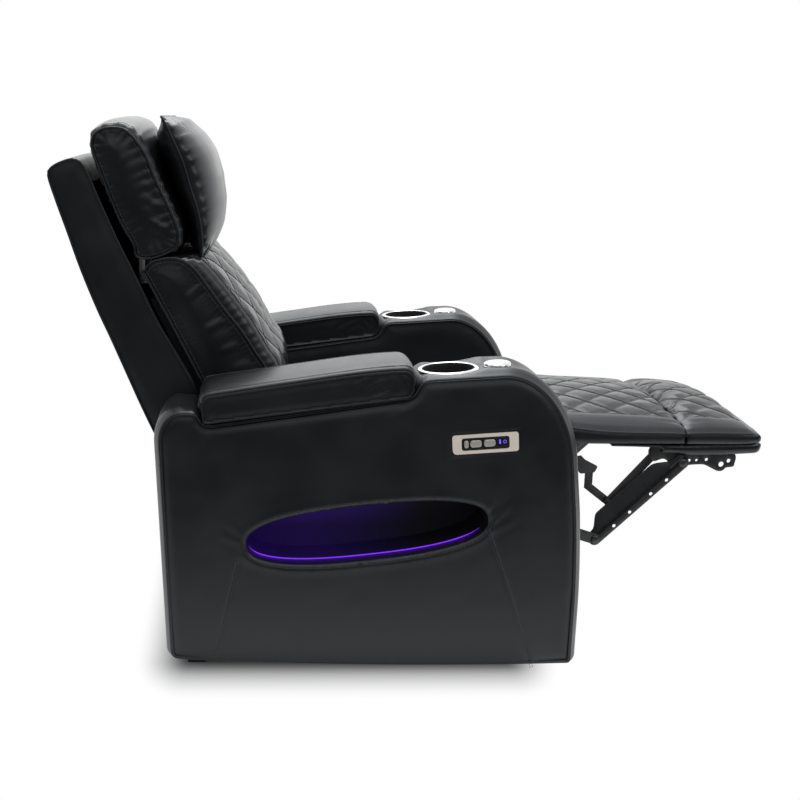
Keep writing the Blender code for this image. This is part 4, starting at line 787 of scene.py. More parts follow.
ARM_CORNERS = [(*arm_at(y, z), a * ARM_LENGTH, b * ARM_LENGTH) for y, z, a, b in ARM_SHARES]
ARM_STEP = 5.5 * MM
ARM_COUNTS = corner_loop(ARM_CORNERS, ARM_STEP)[1]
ARM_OUTER_X, ARM_INNER_X, ARM_MIDDLE_X = 0.440, 0.275, 0.3575
PANEL_CROWN, SEAM_INSET = 20 * MM, 8.5 * MM
DECK_START, DECK_END, LID_START, LID_END = (arm_at(*share[:2]) for share in ARM_SHARES[2:6])

POCKET_MIDDLE = (arm_at(0.509, 0)[0] + SHIFT, 0.487 * DECK_HEIGHT)
POCKET_TILT = math.radians(6.6)
POCKET_LENGTH, POCKET_HEIGHT, POCKET_POWER = 0.486, 0.115, 2.5
POCKET_MOUTH_X = 0.4277
PLATE_MIDDLE = (arm_at(0.2425, 0)[0] + SHIFT, 0.783 * DECK_HEIGHT)
PLATE_TILT = math.radians(4.1)
PLATE_SIZE, PLATE_RADIUS = np.array((0.132, 0.039)), 5 * MM


def pocket_loop(grow=0.0, count=150):
    """The pocket's mouth, or a loop as far outside it as grow says, in mm."""
    ring = circle(count)
    reach = np.sum(np.abs(ring) ** POCKET_POWER, 1) ** (-1 / POCKET_POWER)
    half = (POCKET_LENGTH / 2 + grow * MM, POCKET_HEIGHT / 2 + grow * MM)
    return turned(ring * reach[:, None] * half, POCKET_MIDDLE, POCKET_TILT)


def rounded(size, radius, count):
    """A rectangle with round corners about its middle."""
    spots = []
    for sy, sz, start in ((1, 1, 0), (-1, 1, 90), (-1, -1, 180), (1, -1, 270)):
        for t in (math.radians(start + 90 * k / count) for k in range(count + 1)):
            y, z = sy * (size[0] / 2 - radius), sz * (size[1] / 2 - radius)
            spots.append((y + radius * math.cos(t), z + radius * math.sin(t)))
    return np.array(spots)


def plate_loop(grow):
    """The switch plate's edge, or a loop as far outside it as grow says, in mm."""
    spots = rounded(PLATE_SIZE + 2 * grow * MM, PLATE_RADIUS, 12)
    return turned(even(spots, 4.5 * MM), PLATE_MIDDLE, PLATE_TILT)


ARM_DARTS = (((0.263, 0.247), (0.31, 0.04)), ((-0.238, 0.312), (-0.345, 0.026)))
# Creases on the arm's outer panel and the lid's side: from, to, height and width in millimetres
ARM_WRINKLES = (
    ((-0.232, 0.330), (-0.262, 0.362), 1.6, 4.0), ((-0.238, 0.322), (-0.285, 0.372), 1.3, 5.0),
    ((-0.226, 0.338), (-0.242, 0.372), 1.2, 4.5), ((-0.246, 0.310), (-0.300, 0.338), 0.9, 6.0),
    ((0.262, 0.285), (0.300, 0.300), 1.0, 6.0), ((0.258, 0.300), (0.285, 0.330), 0.8, 6.0),
    ((-0.070, 0.560), (-0.045, 0.535), 1.2, 5.0), ((-0.060, 0.555), (-0.020, 0.530), 0.9, 6.0),
    ((0.330, 0.505), (0.315, 0.470), 0.8, 7.0),
)
LID_WRINKLES = (
    ((-0.030, 0.600), (0.004, 0.588), 2.0, 4.0), ((-0.020, 0.612), (0.020, 0.594), 1.6, 4.5),
    ((-0.045, 0.612), (-0.062, 0.596), 1.4, 3.5), ((0.012, 0.620), (0.042, 0.600), 1.2, 5.0),
    ((-0.055, 0.625), (-0.070, 0.606), 1.2, 3.5), ((0.060, 0.606), (0.082, 0.594), 0.7, 6.0),
    ((0.300, 0.560), (0.322, 0.545), 0.8, 4.0),
)


def segment_place(points, start, end):
    """Distance from a segment of the side view and the share along it."""
    start, end = np.array(start) + (SHIFT, 0), np.array(end) + (SHIFT, 0)
    span = end - start
    t = ((points - start) @ span) / (span @ span)
    return np.linalg.norm(points - start - np.clip(t, 0, 1)[:, None] * span, axis=1), t


def creases(points, table, rise=(-0.3, 0.15), fall=(0.6, 1.25), valley=1.9):
    """Pulled creases, each with a valley beside it, that fade in and out along their length."""
    tall = np.zeros(len(points))
    for start, end, high, wide in table:
        off, t = segment_place(points, start, end)
        taper = smoothstep(*rise, t) * (1 - smoothstep(*fall, t))
        tall += high * MM * (bell(off, wide * MM) - 0.6 * bell(off - valley * wide * MM, wide * MM)) * taper
    return tall


def panel_height(points, border, with_plate):
    """How far the outer panel stands out at each place of the side view."""
    height = np.full(len(points), PANEL_CROWN)
    for values, start, end in zip((points - (SHIFT, 0)).T, arm_at(0, 0), arm_at(1, 1)):
        height *= 1 - np.minimum(np.abs(2 * (values - start) / (end - start) - 1), 1) ** 3
    height += 1.2 * MM - 3.7 * MM * bell(edge_distance(points, border), 8 * MM)
    pocket = edge_distance(points, pocket_loop())
    height -= 4.6 * MM * (1 - smoothstep(0, 8 * MM, pocket)) ** 2
    height += 1.3 * MM * bell(pocket - 11 * MM, 7 * MM) - 0.9 * MM * bell(pocket - 7 * MM, 1.6 * MM)
    for dart in ARM_DARTS:
        off, t = segment_place(points, *dart)
        height -= 1.5 * MM * bell(off, 2.2 * MM) * smoothstep(-0.06, 0.04, t)
        height += 0.8 * MM * bell(off - 9 * MM, 6 * MM)
    height += 0.6 * creases(points, ARM_WRINKLES, (-0.25, 0.2), (0.55, 1.2), 2)
    height += 0.7 * MM * wobble(points[:, 0] * 23 + points[:, 1] * 9, 1.0) * wobble(points[:, 1] * 27, 2.0)
    if with_plate:
        along, up = turned(points - PLATE_MIDDLE, (0, 0), -PLATE_TILT).T
        out = np.maximum(np.abs(along) - PLATE_SIZE[0] / 2, np.abs(up) - PLATE_SIZE[1] / 2)
        height -= 2.4 * MM * (1 - smoothstep(-2 * MM, 11 * MM, out))
        for where in (-44 * MM, 44 * MM):
            height -= 1.7 * MM * bell(up - where, 15 * MM) * bell(along, 48 * MM)
        height += 0.9 * MM * bell(np.abs(along) - 78 * MM, 12 * MM) * bell(up, 26 * MM)
    return height


def half_loop(distance):
    return corner_loop(inset(ARM_CORNERS, distance), ARM_STEP, ARM_COUNTS)[0]


# The wrap's section at its outer seam: inset and x in mm
BAND_SECTION = (
    (8.5, 438.2), (6.2, 439.9), (3.8, 439.4), (1.8, 437.4), (0.5, 434.2), (-0.3, 429.6), (-0.8, 424.0),
)
BAND_CROWN, BAND_SEAM_X = -1.3 * MM, 434.2 * MM
DECK_TILT = math.radians(-3.8)
DECK_AXIS = np.array((0.0, -math.sin(DECK_TILT), math.cos(DECK_TILT)))


def band_section():
    """(inset, x) of the band's section from its outer seam to its inner one."""
    half = [(a * MM, x * MM) for a, x in BAND_SECTION]
    last = half[-1][1]
    inner = 2 * ARM_MIDDLE_X - last
    middle = [(BAND_CROWN, last + (inner - last) * k / 22) for k in range(1, 22)]
    return half + middle + [(a, 2 * ARM_MIDDLE_X - x) for a, x in reversed(half)]


def line_spot(along, start, end):
    """A point on a line of the arm's outline, or on from it."""
    y = arm_at(along, 0)[0]
    return np.array((y + SHIFT, start[1] + (y - start[0]) * (end[1] - start[1]) / (end[0] - start[0])))


CUP_SPOT, CAP_SPOT = (line_spot(along, DECK_START, DECK_END) for along in (0.3185, 0.202))
CUP_OPENING, CAP_OPENING, CAP_FLAT = 54.5 * MM, 15.5 * MM, 13 * MM


def round_axis(points, spot, sign=1):
    """Where points lie round an opening in the deck: up its axis, away from it, and how far."""
    away = points - np.array((sign * ARM_MIDDLE_X, *spot))
    up = away @ DECK_AXIS
    flat = away - up[..., None] * DECK_AXIS
    return up, flat, np.linalg.norm(flat, axis=-1)


def arm_sag(points):
    """Lets the arm's outer skirt hang a little lower, most towards the front."""
    points = np.array(points, float)
    t = np.clip(1 - (points[..., 1] - SHIFT - ARM_FRONT) / ARM_LENGTH, 0, 1)
    low = 1 - smoothstep(0.03, 0.20, points[..., 2])
    outer = smoothstep(0.385, 0.424, np.abs(points[..., 0]))
    points[..., 2] -= (14 * t + 36 * t * (1 - t)) * MM * low * outer
    return points


def crown_height(loop, normals, x):
    """How far the wrap swells at a row of the given x: over the front, the deck and the rear."""
    along = (loop[:, 0] - SHIFT - ARM_FRONT) / ARM_LENGTH
    front = 9.5 * MM * (1 - smoothstep(0.360, 0.395, along))
    rear = 6.0 * MM * smoothstep(0.925, 0.960, along)
    under = 0.15 + 0.85 * smoothstep(-0.8, -0.2, normals[:, 1])
    in_from_seam = min(BAND_SEAM_X - x, x - (2 * ARM_MIDDLE_X - BAND_SEAM_X))
    tall = (front + rear) * under * math.sin(min(max(in_from_seam / (22 * MM), 0), 1) * math.pi / 2)
    for spot, radius in ((CUP_SPOT, CUP_OPENING), (CAP_SPOT, CAP_OPENING + CAP_FLAT)):
        up, _, reach = round_axis(at_x(x, loop), spot)
        clear = smoothstep(radius + 4 * MM, radius + 38 * MM, reach)
        tall = np.where(np.abs(up) < 25 * MM, tall * clear, tall)
    return tall


def add_band(side, sign):
    """The arm's wrap: front, deck, lid seat, rear and underside, with its openings."""
    node, section = f"arm_band_{side}", band_section()
    rows = []
    for distance, x in section:
        loop = half_loop(distance)
        normals = outward(loop)
        rows.append(at_x(sign * x, loop + normals * crown_height(loop, normals, x)[:, None]))
    rows = np.array(rows)
    openings = ((CUP_SPOT, CUP_OPENING), (CAP_SPOT, CAP_OPENING))
    for spot, radius in openings:
        up, flat, reach = round_axis(rows, spot, sign)
        near = (np.abs(up) < 20 * MM) & (reach < radius + 3 * MM) & (reach > radius - 3.4 * MM)
        rows[near] += (flat * (radius / np.maximum(reach, 1e-9) - 1)[..., None])[near]
    after = np.roll(rows, -1, 1)
    middles = (rows[:-1] + rows[1:] + after[:-1] + after[1:]) / 4
    keep = np.ones(middles.shape[:2], bool)
    for spot, radius in openings:
        up, _, reach = round_axis(middles, spot, sign)
        keep &= ~((np.abs(up) < 20 * MM) & (reach < radius - 0.2 * MM))
    start, end = (line_spot(along, LID_START, LID_END) for along in (0.46, 0.86))
    way, flat, across = unit(end - start), middles[..., 1:] - start, np.abs(middles[..., 0])
    along, up = flat @ way, flat @ np.array((-way[1], way[0]))
    opening = (np.abs(up) < 12 * MM) & (along > -3 * MM) & (along < np.linalg.norm(end - start) + 3 * MM)
    keep &= ~(opening & (across > 0.2955) & (across < 0.4195))
    rows = arm_sag(rows)
    skin, trim, sewn = Skin(), Skin(), Skin()
    skin.rows(rows, keep=keep)
    dress(skin.build(f"arm_wrap_{side}", LEATHER), "chair", node, True)
    for (_, x), out in ((section[0], 1.2 * MM), (section[-1], -1.2 * MM)):
        add_tube(trim, arm_sag(at_x(sign * (x + out), half_loop(SEAM_INSET - 0.6 * MM))), 2.3 * MM)
    dress(trim.build(f"arm_piping_{side}", PIPING), "chair", node)
    for row in (2, len(rows) - 3):
        add_stitches(sewn, rows[row], row_normals(rows, row), closed=True)
    add_thread(sewn, f"arm_topstitch_{side}", "chair", node)


def dart_lines(first, short, step, offs):
    """Lines along each dart and beside it, in mm."""
    for dart in ARM_DARTS:
        start, end = (np.array(spot) + (SHIFT, 0) for spot in dart)
        way = unit(end - start)
        run = np.arange(first * MM, np.linalg.norm(end - start) - short * MM, step * MM)[:, None] * way
        yield from (start + run + np.array((-way[1], way[0])) * off * MM for off in offs)


def add_outer_panel(side, sign):
    """The padded outer side with its pocket mouth, sewn darts and pulled creases."""
    node, plated, border = f"arm_outer_panel_{side}", sign < 0, half_loop(SEAM_INSET)
    holes = [pocket_loop()]
    extra = [half_loop(SEAM_INSET + d * MM) for d in (2.5, 5.5, 9.5, 15)]
    extra += [pocket_loop(d) for d in (1.2, 2.6, 4.2, 5.8, 7.0, 8.2, 10, 13, 18)]
    extra += dart_lines(8, 6, 4.5, (-4.5, -2.2, 0, 2.2, 4.5))
    if plated:
        holes.append(plate_loop(-6))
        extra += [plate_loop(d) for d in (-2.5, 0.5, 3, 6, 9)]
    flat, faces, order = fill(border, 7 * MM, holes, [e[within(e, border, holes)] for e in extra])
    x = sign * (ARM_OUTER_X + panel_height(flat, border, plated))
    skin, sewn = Skin(), Skin()
    skin.add(arm_sag(at_x(x, flat)), faces)
    mouth = order[len(border) : len(border) + len(holes[0])]
    rows = [at_x(x[mouth], flat[mouth])]
    for share, grow in ((0.35, 0.7), (0.7, 0.3), (1.0, -0.4)):
        reach = (sign * (POCKET_MOUTH_X + 0.3 * MM) - x[mouth]) * share
        rows.append(at_x(x[mouth] + reach, pocket_loop(grow)))
    skin.rows(rows)
    dress(skin.build(f"arm_side_{side}", LEATHER), "chair", node, True)
    for path in (pocket_loop(7, 300), *dart_lines(3, 0, 4, (-2.6, 2.6))):
        tall = panel_height(path, border, plated) + 0.3 * MM
        line = arm_sag(at_x(sign * (ARM_OUTER_X + tall), path))
        add_stitches(sewn, line, (sign, 0.0, 0.0), closed=len(path) == 300)
    add_thread(sewn, f"arm_side_stitches_{side}", "chair", node)


def add_inner_panel(side, sign):
    border = half_loop(SEAM_INSET)
    flat, faces, _ = fill(border, 14 * MM, extra=[half_loop(SEAM_INSET + d * MM) for d in (3, 7, 13)])
    puff = -1.8 * MM + 4.2 * MM * smoothstep(0, 26 * MM, edge_distance(flat, border))
    skin = Skin()
    skin.add(at_x(sign * (ARM_INNER_X - puff), flat), faces)
    dress(skin.build(f"arm_inner_{side}", LEATHER), "chair", f"arm_inner_panel_{side}", True)


# Turned forms: radius and height in mm
CUP_RING = (
    (53.0, 3.0), (54.5, 4.0), (57.5, 4.2), (60.4, 3.5), (62.2, 2.2), (62.6, 0.9), (62.2, 0.3), (54.0, 0.3),
)
CUP_LINER = (
    (54.0, 0.2), (53.4, -4.0), (50.4, -77.5), (0.0, -77.5), (0.0, -74.0), (16.0, -74.0), (18.0, -75.2),
    (20.0, -74.0), (34.0, -74.0), (36.0, -75.2), (38.0, -74.0), (44.5, -74.0), (47.4, -71.5), (48.2, -68.0),
    (50.2, -30.0), (51.4, -4.0), (52.0, 1.2), (53.0, 3.0),
)
CAP_FORM = (
    (0.0, 12.0), (6.0, 11.9), (13.0, 11.5), (19.0, 10.7), (23.5, 9.6), (26.3, 8.0), (27.7, 5.8), (28.2, 2.6),
    (28.0, 0.3), (13.4, 0.3), (13.4, -24.0), (0.0, -24.0),
)


def add_deck_fittings(side, sign):
    """The cup holder's bright ring and black liner, and the polished cap in front of it."""
    cup, cap = Skin(), Skin()
    for slot, form in enumerate((CUP_RING, CUP_LINER)):
        lathe(cup, form, (sign * ARM_MIDDLE_X, *CUP_SPOT), DECK_TILT, 96, slot=slot)
    dress(cup.build(f"cup_ring_{side}", CHROME, LINING), "chair", f"cup_holder_{side}", True)
    lathe(cap, CAP_FORM, (sign * ARM_MIDDLE_X, *CAP_SPOT), DECK_TILT)
    dress(cap.build(f"tray_cap_cover_{side}", CHROME), f"tray_cap_{side}", f"tray_cap_{side}", True)


LID_CORNERS = [
    (0.3310, 0.5262, 0.006, 0.006), (0.3365, 0.5755, 0.015, 0.016), (0.0000, 0.6285, 0.060, 0.040),
    (-0.0800, 0.6330, 0.022, 0.022), (-0.0735, 0.5818, 0.012, 0.012),
]
# The lid's section from its outer side to its middle: how far out and x in mm
LID_SECTION = (
    (0.0, 444.6), (2.0, 446.6), (4.6, 446.9), (7.2, 445.6), (9.4, 442.6), (10.2, 438.4), (10.0, 435.6),
    (10.6, 432.6), (11.8, 426.0), (13.4, 414.0), (14.6, 398.0), (15.2, 380.0), (15.4, 360.2),
)
LID_INNER_X, LID_OUTER_X, LID_EDGE = 275.8, 444.6, 12


def puffed_cap(skin, border, x, sign, puff, spacing, wrinkles=(), reach=16, ripples=0.0, pitch=14, fade=9):
    """A flat side of a padded piece, sizes in mm: it swells inside its seam, with creases and gathers."""
    flat, faces, order = fill(border, spacing * MM)
    edge = edge_distance(flat, border)
    tall = puff * MM * smoothstep(0, reach * MM, edge)
    tall += creases(flat, wrinkles) * smoothstep(0, 5 * MM, edge)
    if ripples:
        tree, lengths = flat_tree(border), run_length(border)
        at = np.array([lengths[tree.find((p[0], p[1], 0))[1]] for p in flat])
        wave = np.sin(at / (pitch * MM) * math.tau + 1.7 * wobble(at * 60, 0.4))
        tall += ripples * MM * wave * np.exp(-edge / (fade * MM)) * smoothstep(0, 2 * MM, edge)
    tall[order[: len(border)]] = 0
    skin.add(at_x(x + sign * tall, flat), faces)


def add_lid(side, sign):
    """The padded arm top: sides with piping, a twin-needle band and a crowned top."""
    body, node = f"arm_lid_{side}", f"lid_pad_{side}"
    base = corner_loop(LID_CORNERS, 5 * MM)[0]
    normals = outward(base)
    full = np.clip(0.22 + normals[:, 1] * 0.85, 0, 1)
    full = np.where(normals[:, 0] < -0.5, np.maximum(full, 0.35), full)
    section = [*LID_SECTION, *((d, LID_INNER_X + LID_OUTER_X - x) for d, x in reversed(LID_SECTION[:-1]))]
    rows = []
    for push, x in section:
        seam = LID_OUTER_X if x > LID_SECTION[-1][1] else LID_INNER_X
        part = np.clip(full * 1.6, 0.15, 1) if push and abs(x - seam) < LID_EDGE else 1
        rows.append(at_x(sign * (seam + (x - seam) * part) * MM, base + push * MM * full[:, None] * normals))
    rows = np.array(rows)
    skin, trim, sewn = Skin(), Skin(), Skin()
    skin.rows(rows)
    puffed_cap(skin, base, sign * LID_OUTER_X * MM, sign, 3.0, 6, LID_WRINKLES)
    puffed_cap(skin, base, sign * LID_INNER_X * MM, -sign, 0.6, 7, LID_WRINKLES)
    dress(skin.build(f"lid_cover_{side}", LEATHER), body, node, True)
    for x in (LID_OUTER_X + 1.4, LID_INNER_X - 0.4):
        add_tube(trim, at_x(sign * x * MM, base + normals * 0.6 * MM), 2.3 * MM)
    dress(trim.build(f"lid_piping_{side}", PIPING), body, node)
    upper = np.where(full > 0.3)[0]
    start = upper[np.argmax(np.diff(np.concatenate(([upper[-1] - len(base)], upper))))]
    run = [(start + k) % len(base) for k in range(len(upper))]
    for row in (5, 7, len(rows) - 8, len(rows) - 6):
        add_stitches(sewn, rows[row][run], row_normals(rows, row)[run])
    add_thread(sewn, f"lid_topstitch_{side}", body, node)


for side_and_sign in SIDES:
    for add_piece in (add_band, add_outer_panel, add_inner_panel, add_deck_fittings, add_lid):
        add_piece(*side_and_sign)
POCKET_LINING_WITH_PAINTED_GLOW = pocket_lining_with_painted_glow()

# Padded pieces


def smooth_table(table, step):
    """A side outline and the reach to its middle outline, from (y, z, dy, dz in mm, sharp) rows."""
    spots = [(p[0] + SHIFT, p[1], p[2] * MM, p[3] * MM) for p in table]
    drawn = smooth_line(spots, step, sharp=[len(p) > 4 for p in table], pieces=12)
    return drawn[:, :2], drawn[:, 2:]


def puckers(along, edge, height, pitch, fade, seed=0.0):
    """Gathers beside a seam, sizes in mm: ripples along it that die away from it."""
    wave = np.sin(along / (pitch * MM) * math.tau + 1.9 * wobble(along * 55, seed))
    depth = 0.75 + 0.25 * wobble(along * 21, seed + 2)
    return height * MM * wave * depth * np.exp(-edge / (fade * MM)) * smoothstep(0, 2.5 * MM, edge)


class Cushion:
    """A padded piece: its side outline, its stations across, and the skins of its cover and seams."""

    def __init__(self, table, half, step, count, strip, strip_share, power):
        self.base, self.reach = smooth_table(table, step * MM)
        self.normals, self.along = outward(self.base), run_length(self.base)
        t = np.linspace(-1, 1, count)
        self.half, self.strip = half, strip * MM
        self.xs = half * (0.45 * t + 0.55 * np.sin(t * math.pi / 2))
        self.edge = edge = half - np.abs(self.xs)
        # The crown's share at each station: a border strip, then a long swell
        rise = strip_share * np.sin(np.clip(edge / self.strip, 0, 1) * math.pi / 2) ** 0.85
        swell = 1 - (1 - np.clip((edge - self.strip) / (half - self.strip), 0, 1)) ** power
        self.share = rise + (1 - strip_share) * swell
        self.skin, self.trim, self.sewn = Skin(), Skin(), Skin()

    def lay(self, relief):
        """Rows across the cushion, each lifted outwards by its relief at (x, distance from the side)."""
        rows = []
        for x, edge, share in zip(self.xs, self.edge, self.share):
            line = self.base + self.reach * share
            lift = np.broadcast_to(relief(x, edge), len(line))
            rows.append(at_x(x, line + outward(line) * lift[:, None]))
        self.rows = np.array(rows)

    def close(self, puff, spacing, wrinkles=(), **form):
        self.skin.rows(self.rows)
        for sign in (-1, 1):
            puffed_cap(self.skin, self.base, sign * self.half, sign, puff, spacing, wrinkles, **form)

    def pipe(self, out, rise, radius, here=slice(None), closed=True):
        """Piping along both sides, sizes in mm."""
        for sign in (-1, 1):
            line = self.base[here] + rise * MM
            add_tube(self.trim, at_x(sign * (self.half + out * MM), line), radius * MM, closed=closed)

    def sew_side(self, sign, inset, out):
        ring = self.base - self.normals * inset * MM
        add_stitches(self.sewn, at_x(sign * (self.half + out * MM), ring), (sign, 0.0, 0.0), closed=True)

    def sew_row(self, sign, target, here=slice(None), closed=False):
        """Stitches along the row that is nearest to a distance from one side."""
        middle = len(self.xs) // 2
        row = int(np.argmin(np.abs(self.edge[:middle] - target)))
        row = row if sign < 0 else len(self.xs) - 1 - row
        add_stitches(self.sewn, self.rows[row][here], row_normals(self.rows, row)[here], closed=closed)

    def sew_diamonds(self, inner, along, mask, diamond):
        """Twin rows of stitches along the diamond seams of the quilted stretch."""
        wide, high = diamond
        good = self.edge > self.strip + inner * MM
        here = np.where(mask > 0.55)[0]
        grid, xs, along = self.rows[good][:, here], self.xs[good], along[here]
        scale = 1 / math.hypot(1 / wide, 1 / high)
        reach = int((xs.max() - xs.min()) / wide + (along.max() - along.min()) / high + 2)
        for way in (1, -1):
            for n in range(-reach - 1, reach + 2):
                for twin in (-SEAM_TWIN / scale, SEAM_TWIN / scale):
                    v = np.arange(along.min(), along.max(), 2.5 * MM)
                    x = (n + twin - way * v / high) * wide
                    on = (x > xs.min()) & (x < xs.max())
                    if on.sum() >= 6:
                        spots = x[on], v[on]
                        normals = surface_normals(grid, xs, along, *spots)
                        path = surface_points(grid, xs, along, *spots)
                        add_stitches(self.sewn, path + normals * 0.15 * MM, normals)

    def hang(self, name, body, node):
        """Makes the cover, its piping and its stitches, and hangs them on their body."""
        dress(self.skin.build(name + "_cover", GATHERED), body, node, True)
        dress(self.trim.build(name + "_piping", PIPING), body, node)
        add_thread(self.sewn, name + "_stitches", body, node)


def surface_points(rows, xs, along, x, v):
    """Points of a grid surface at places across and along it."""
    order = np.argsort(along)
    along, rows = along[order], rows[:, order]
    i = np.clip(np.searchsorted(xs, x) - 1, 0, len(xs) - 2)
    j = np.clip(np.searchsorted(along, v) - 1, 0, len(along) - 2)
    a = ((x - xs[i]) / (xs[i + 1] - xs[i]))[:, None]
    b = ((v - along[j]) / np.maximum(along[j + 1] - along[j], 1e-9)).clip(0, 1)[:, None]
    one = rows[i, j] * (1 - a) + rows[i + 1, j] * a
    two = rows[i, j + 1] * (1 - a) + rows[i + 1, j + 1] * a
    return one * (1 - b) + two * b


def surface_normals(rows, xs, along, x, v):
    def at(dx, dv):
        return surface_points(rows, xs, along, x + dx, v + dv)

    step = 2 * MM
    normals = unit(np.cross(at(step, 0) - at(-step, 0), at(0, step) - at(0, -step)))
    middle = rows.reshape(-1, 3).mean(0)
    if np.mean(np.sum(normals * (at(0, 0) - middle), 1)) < 0 and abs(normals[:, 2].mean()) < 0.3:
        normals = -normals
    return -normals if normals[:, 2].mean() < 0 else normals


# Side outlines: y, z, the reach to the middle in millimetres, then 1 at a sharp corner
LUMBAR_TABLE = (
    (0.4600, 0.7980, 0, 0, 1), (0.4400, 0.8190, -4, 6), (0.3950, 0.8260, -16, 8), (0.3620, 0.8090, -30, 22),
    (0.3310, 0.7710, -36, 27), (0.2970, 0.7240, -42, 27), (0.2610, 0.6790, -40, 22), (0.2330, 0.6350, -40, 16),
    (0.2130, 0.6060, -44, 10), (0.2000, 0.5720, -40, 4), (0.1990, 0.5350, -28, -4), (0.2130, 0.5020, -10, -8),
    (0.2400, 0.4900, 0, -2), (0.3000, 0.4890, 0, 0, 1), (0.3500, 0.5900, 0, 0), (0.4050, 0.6960, 0, 0),
)
LUMBAR_CREASES = (
    ((0.300, 0.700), (0.335, 0.680), 1.6, 7.0), ((0.270, 0.650), (0.305, 0.635), 1.2, 7.0),
    ((0.345, 0.770), (0.372, 0.745), 1.2, 7.0), ((0.245, 0.610), (0.280, 0.600), 1.0, 8.0),
)


def add_lumbar():
    pad = Cushion(LUMBAR_TABLE, 0.2625, 4, 200, 24, 0.62, 2.3)
    front = smoothstep(20 * MM, 34 * MM, np.linalg.norm(pad.reach, axis=1))
    diamond = 0.104, 0.102
    along = pad.along - pad.along[np.argmin(np.linalg.norm(pad.base - (0.362 + SHIFT, 0.809), axis=1))]

    def relief(x, edge):
        up = quilt(x, along, diamond, 5.0 * MM, 14 * MM) * front
        up = up * smoothstep(pad.strip + 1 * MM, pad.strip + 14 * MM, edge)
        up -= 2.6 * MM * bell(edge - pad.strip - 1 * MM, 3 * MM) * front
        return up + puckers(pad.along, edge, 2.0, 19, 14, 0.7) * (edge < pad.strip)

    pad.lay(relief)
    bulge = 3.5 * MM * np.sin(np.clip(pad.edge / pad.strip, 0, 1) * math.pi) * np.sign(pad.xs)
    pad.rows[..., 0] += bulge[:, None] * front[None]
    pad.close(9.5, 4, LUMBAR_CREASES, ripples=1.9, pitch=10, reach=58, fade=12)
    pad.pipe(1.2, pad.normals * 0.8, 2.5)
    for sign in (-1, 1):
        pad.sew_side(sign, 6.5, 1.5)
    for target in (pad.strip - 3.2 * MM, pad.strip + 4.5 * MM):
        for sign in (-1, 1):
            pad.sew_row(sign, target, front > 0.3)
    pad.sew_diamonds(8, along, front, diamond)
    pad.hang("lumbar", "back", "lumbar_cushion")


BLOCK_TABLE = (
    (0.5600, 1.0420, 12, 12), (0.5580, 1.0660, 12, 16), (0.5440, 1.0790, 4, 19), (0.5240, 1.0840, -2, 21),
    (0.5030, 1.0830, -10, 24), (0.4870, 1.0740, -20, 23), (0.4700, 1.0540, -22, 15), (0.4560, 1.0320, -21, 9),
    (0.4430, 1.0000, -20, 6), (0.4270, 0.9640, -20, 4), (0.4110, 0.9310, -19, 3), (0.3970, 0.8990, -19, 1),
    (0.3905, 0.8740, -18, -1), (0.3950, 0.8520, -18, -4), (0.4080, 0.8400, -12, -4), (0.4400, 0.8270, 0, -1),
    (0.4735, 0.8290, 2, 0), (0.4800, 0.8540, 5, -1), (0.5020, 0.8910, 7, -2), (0.5260, 0.9460, 9, -3),
    (0.5470, 1.0020, 12, -2),
)
BLOCK_CREASES = (
    ((0.405, 0.880), (0.450, 0.905), 1.3, 6.0), ((0.415, 0.925), (0.455, 0.945), 1.1, 6.0),
    ((0.480, 1.060), (0.500, 1.020), 1.2, 6.0), ((0.430, 0.965), (0.465, 0.975), 0.9, 6.0),
)


def add_headrest_block():
    pad = Cushion(BLOCK_TABLE, 0.2555, 4, 110, 11, 0.42, 2.6)
    pad.lay(lambda x, edge: puckers(pad.along, edge, 2.4, 24, 26, 0.3))
    pad.close(9.5, 5, BLOCK_CREASES, ripples=2.1, pitch=23, reach=50, fade=22)
    pad.pipe(1.0, pad.normals * 0.8, 2.5)
    for sign in (-1, 1):
        pad.sew_side(sign, 6, 1.2)
        for target in (5 * MM, 11 * MM):
            pad.sew_row(sign, target, closed=True)
    pad.hang("headrest_block", "headrest", "headrest_block")


# The pillow's seam up its middle, bottom to top: y, z, and its front and rear swell there in mm
PILLOW_TABLE = (
    (0.3440, 0.8300, 0, 2), (0.3420, 0.8460, 24, 34), (0.3440, 0.8770, 43, 28), (0.3520, 0.9230, 57, 33),
    (0.3670, 0.9680, 67, 38), (0.3810, 1.0160, 66, 43), (0.3970, 1.0530, 56, 44), (0.4130, 1.0880, 36, 34),
    (0.4240, 1.1080, 0, 1),
)
PILLOW_HALF = 0.2385


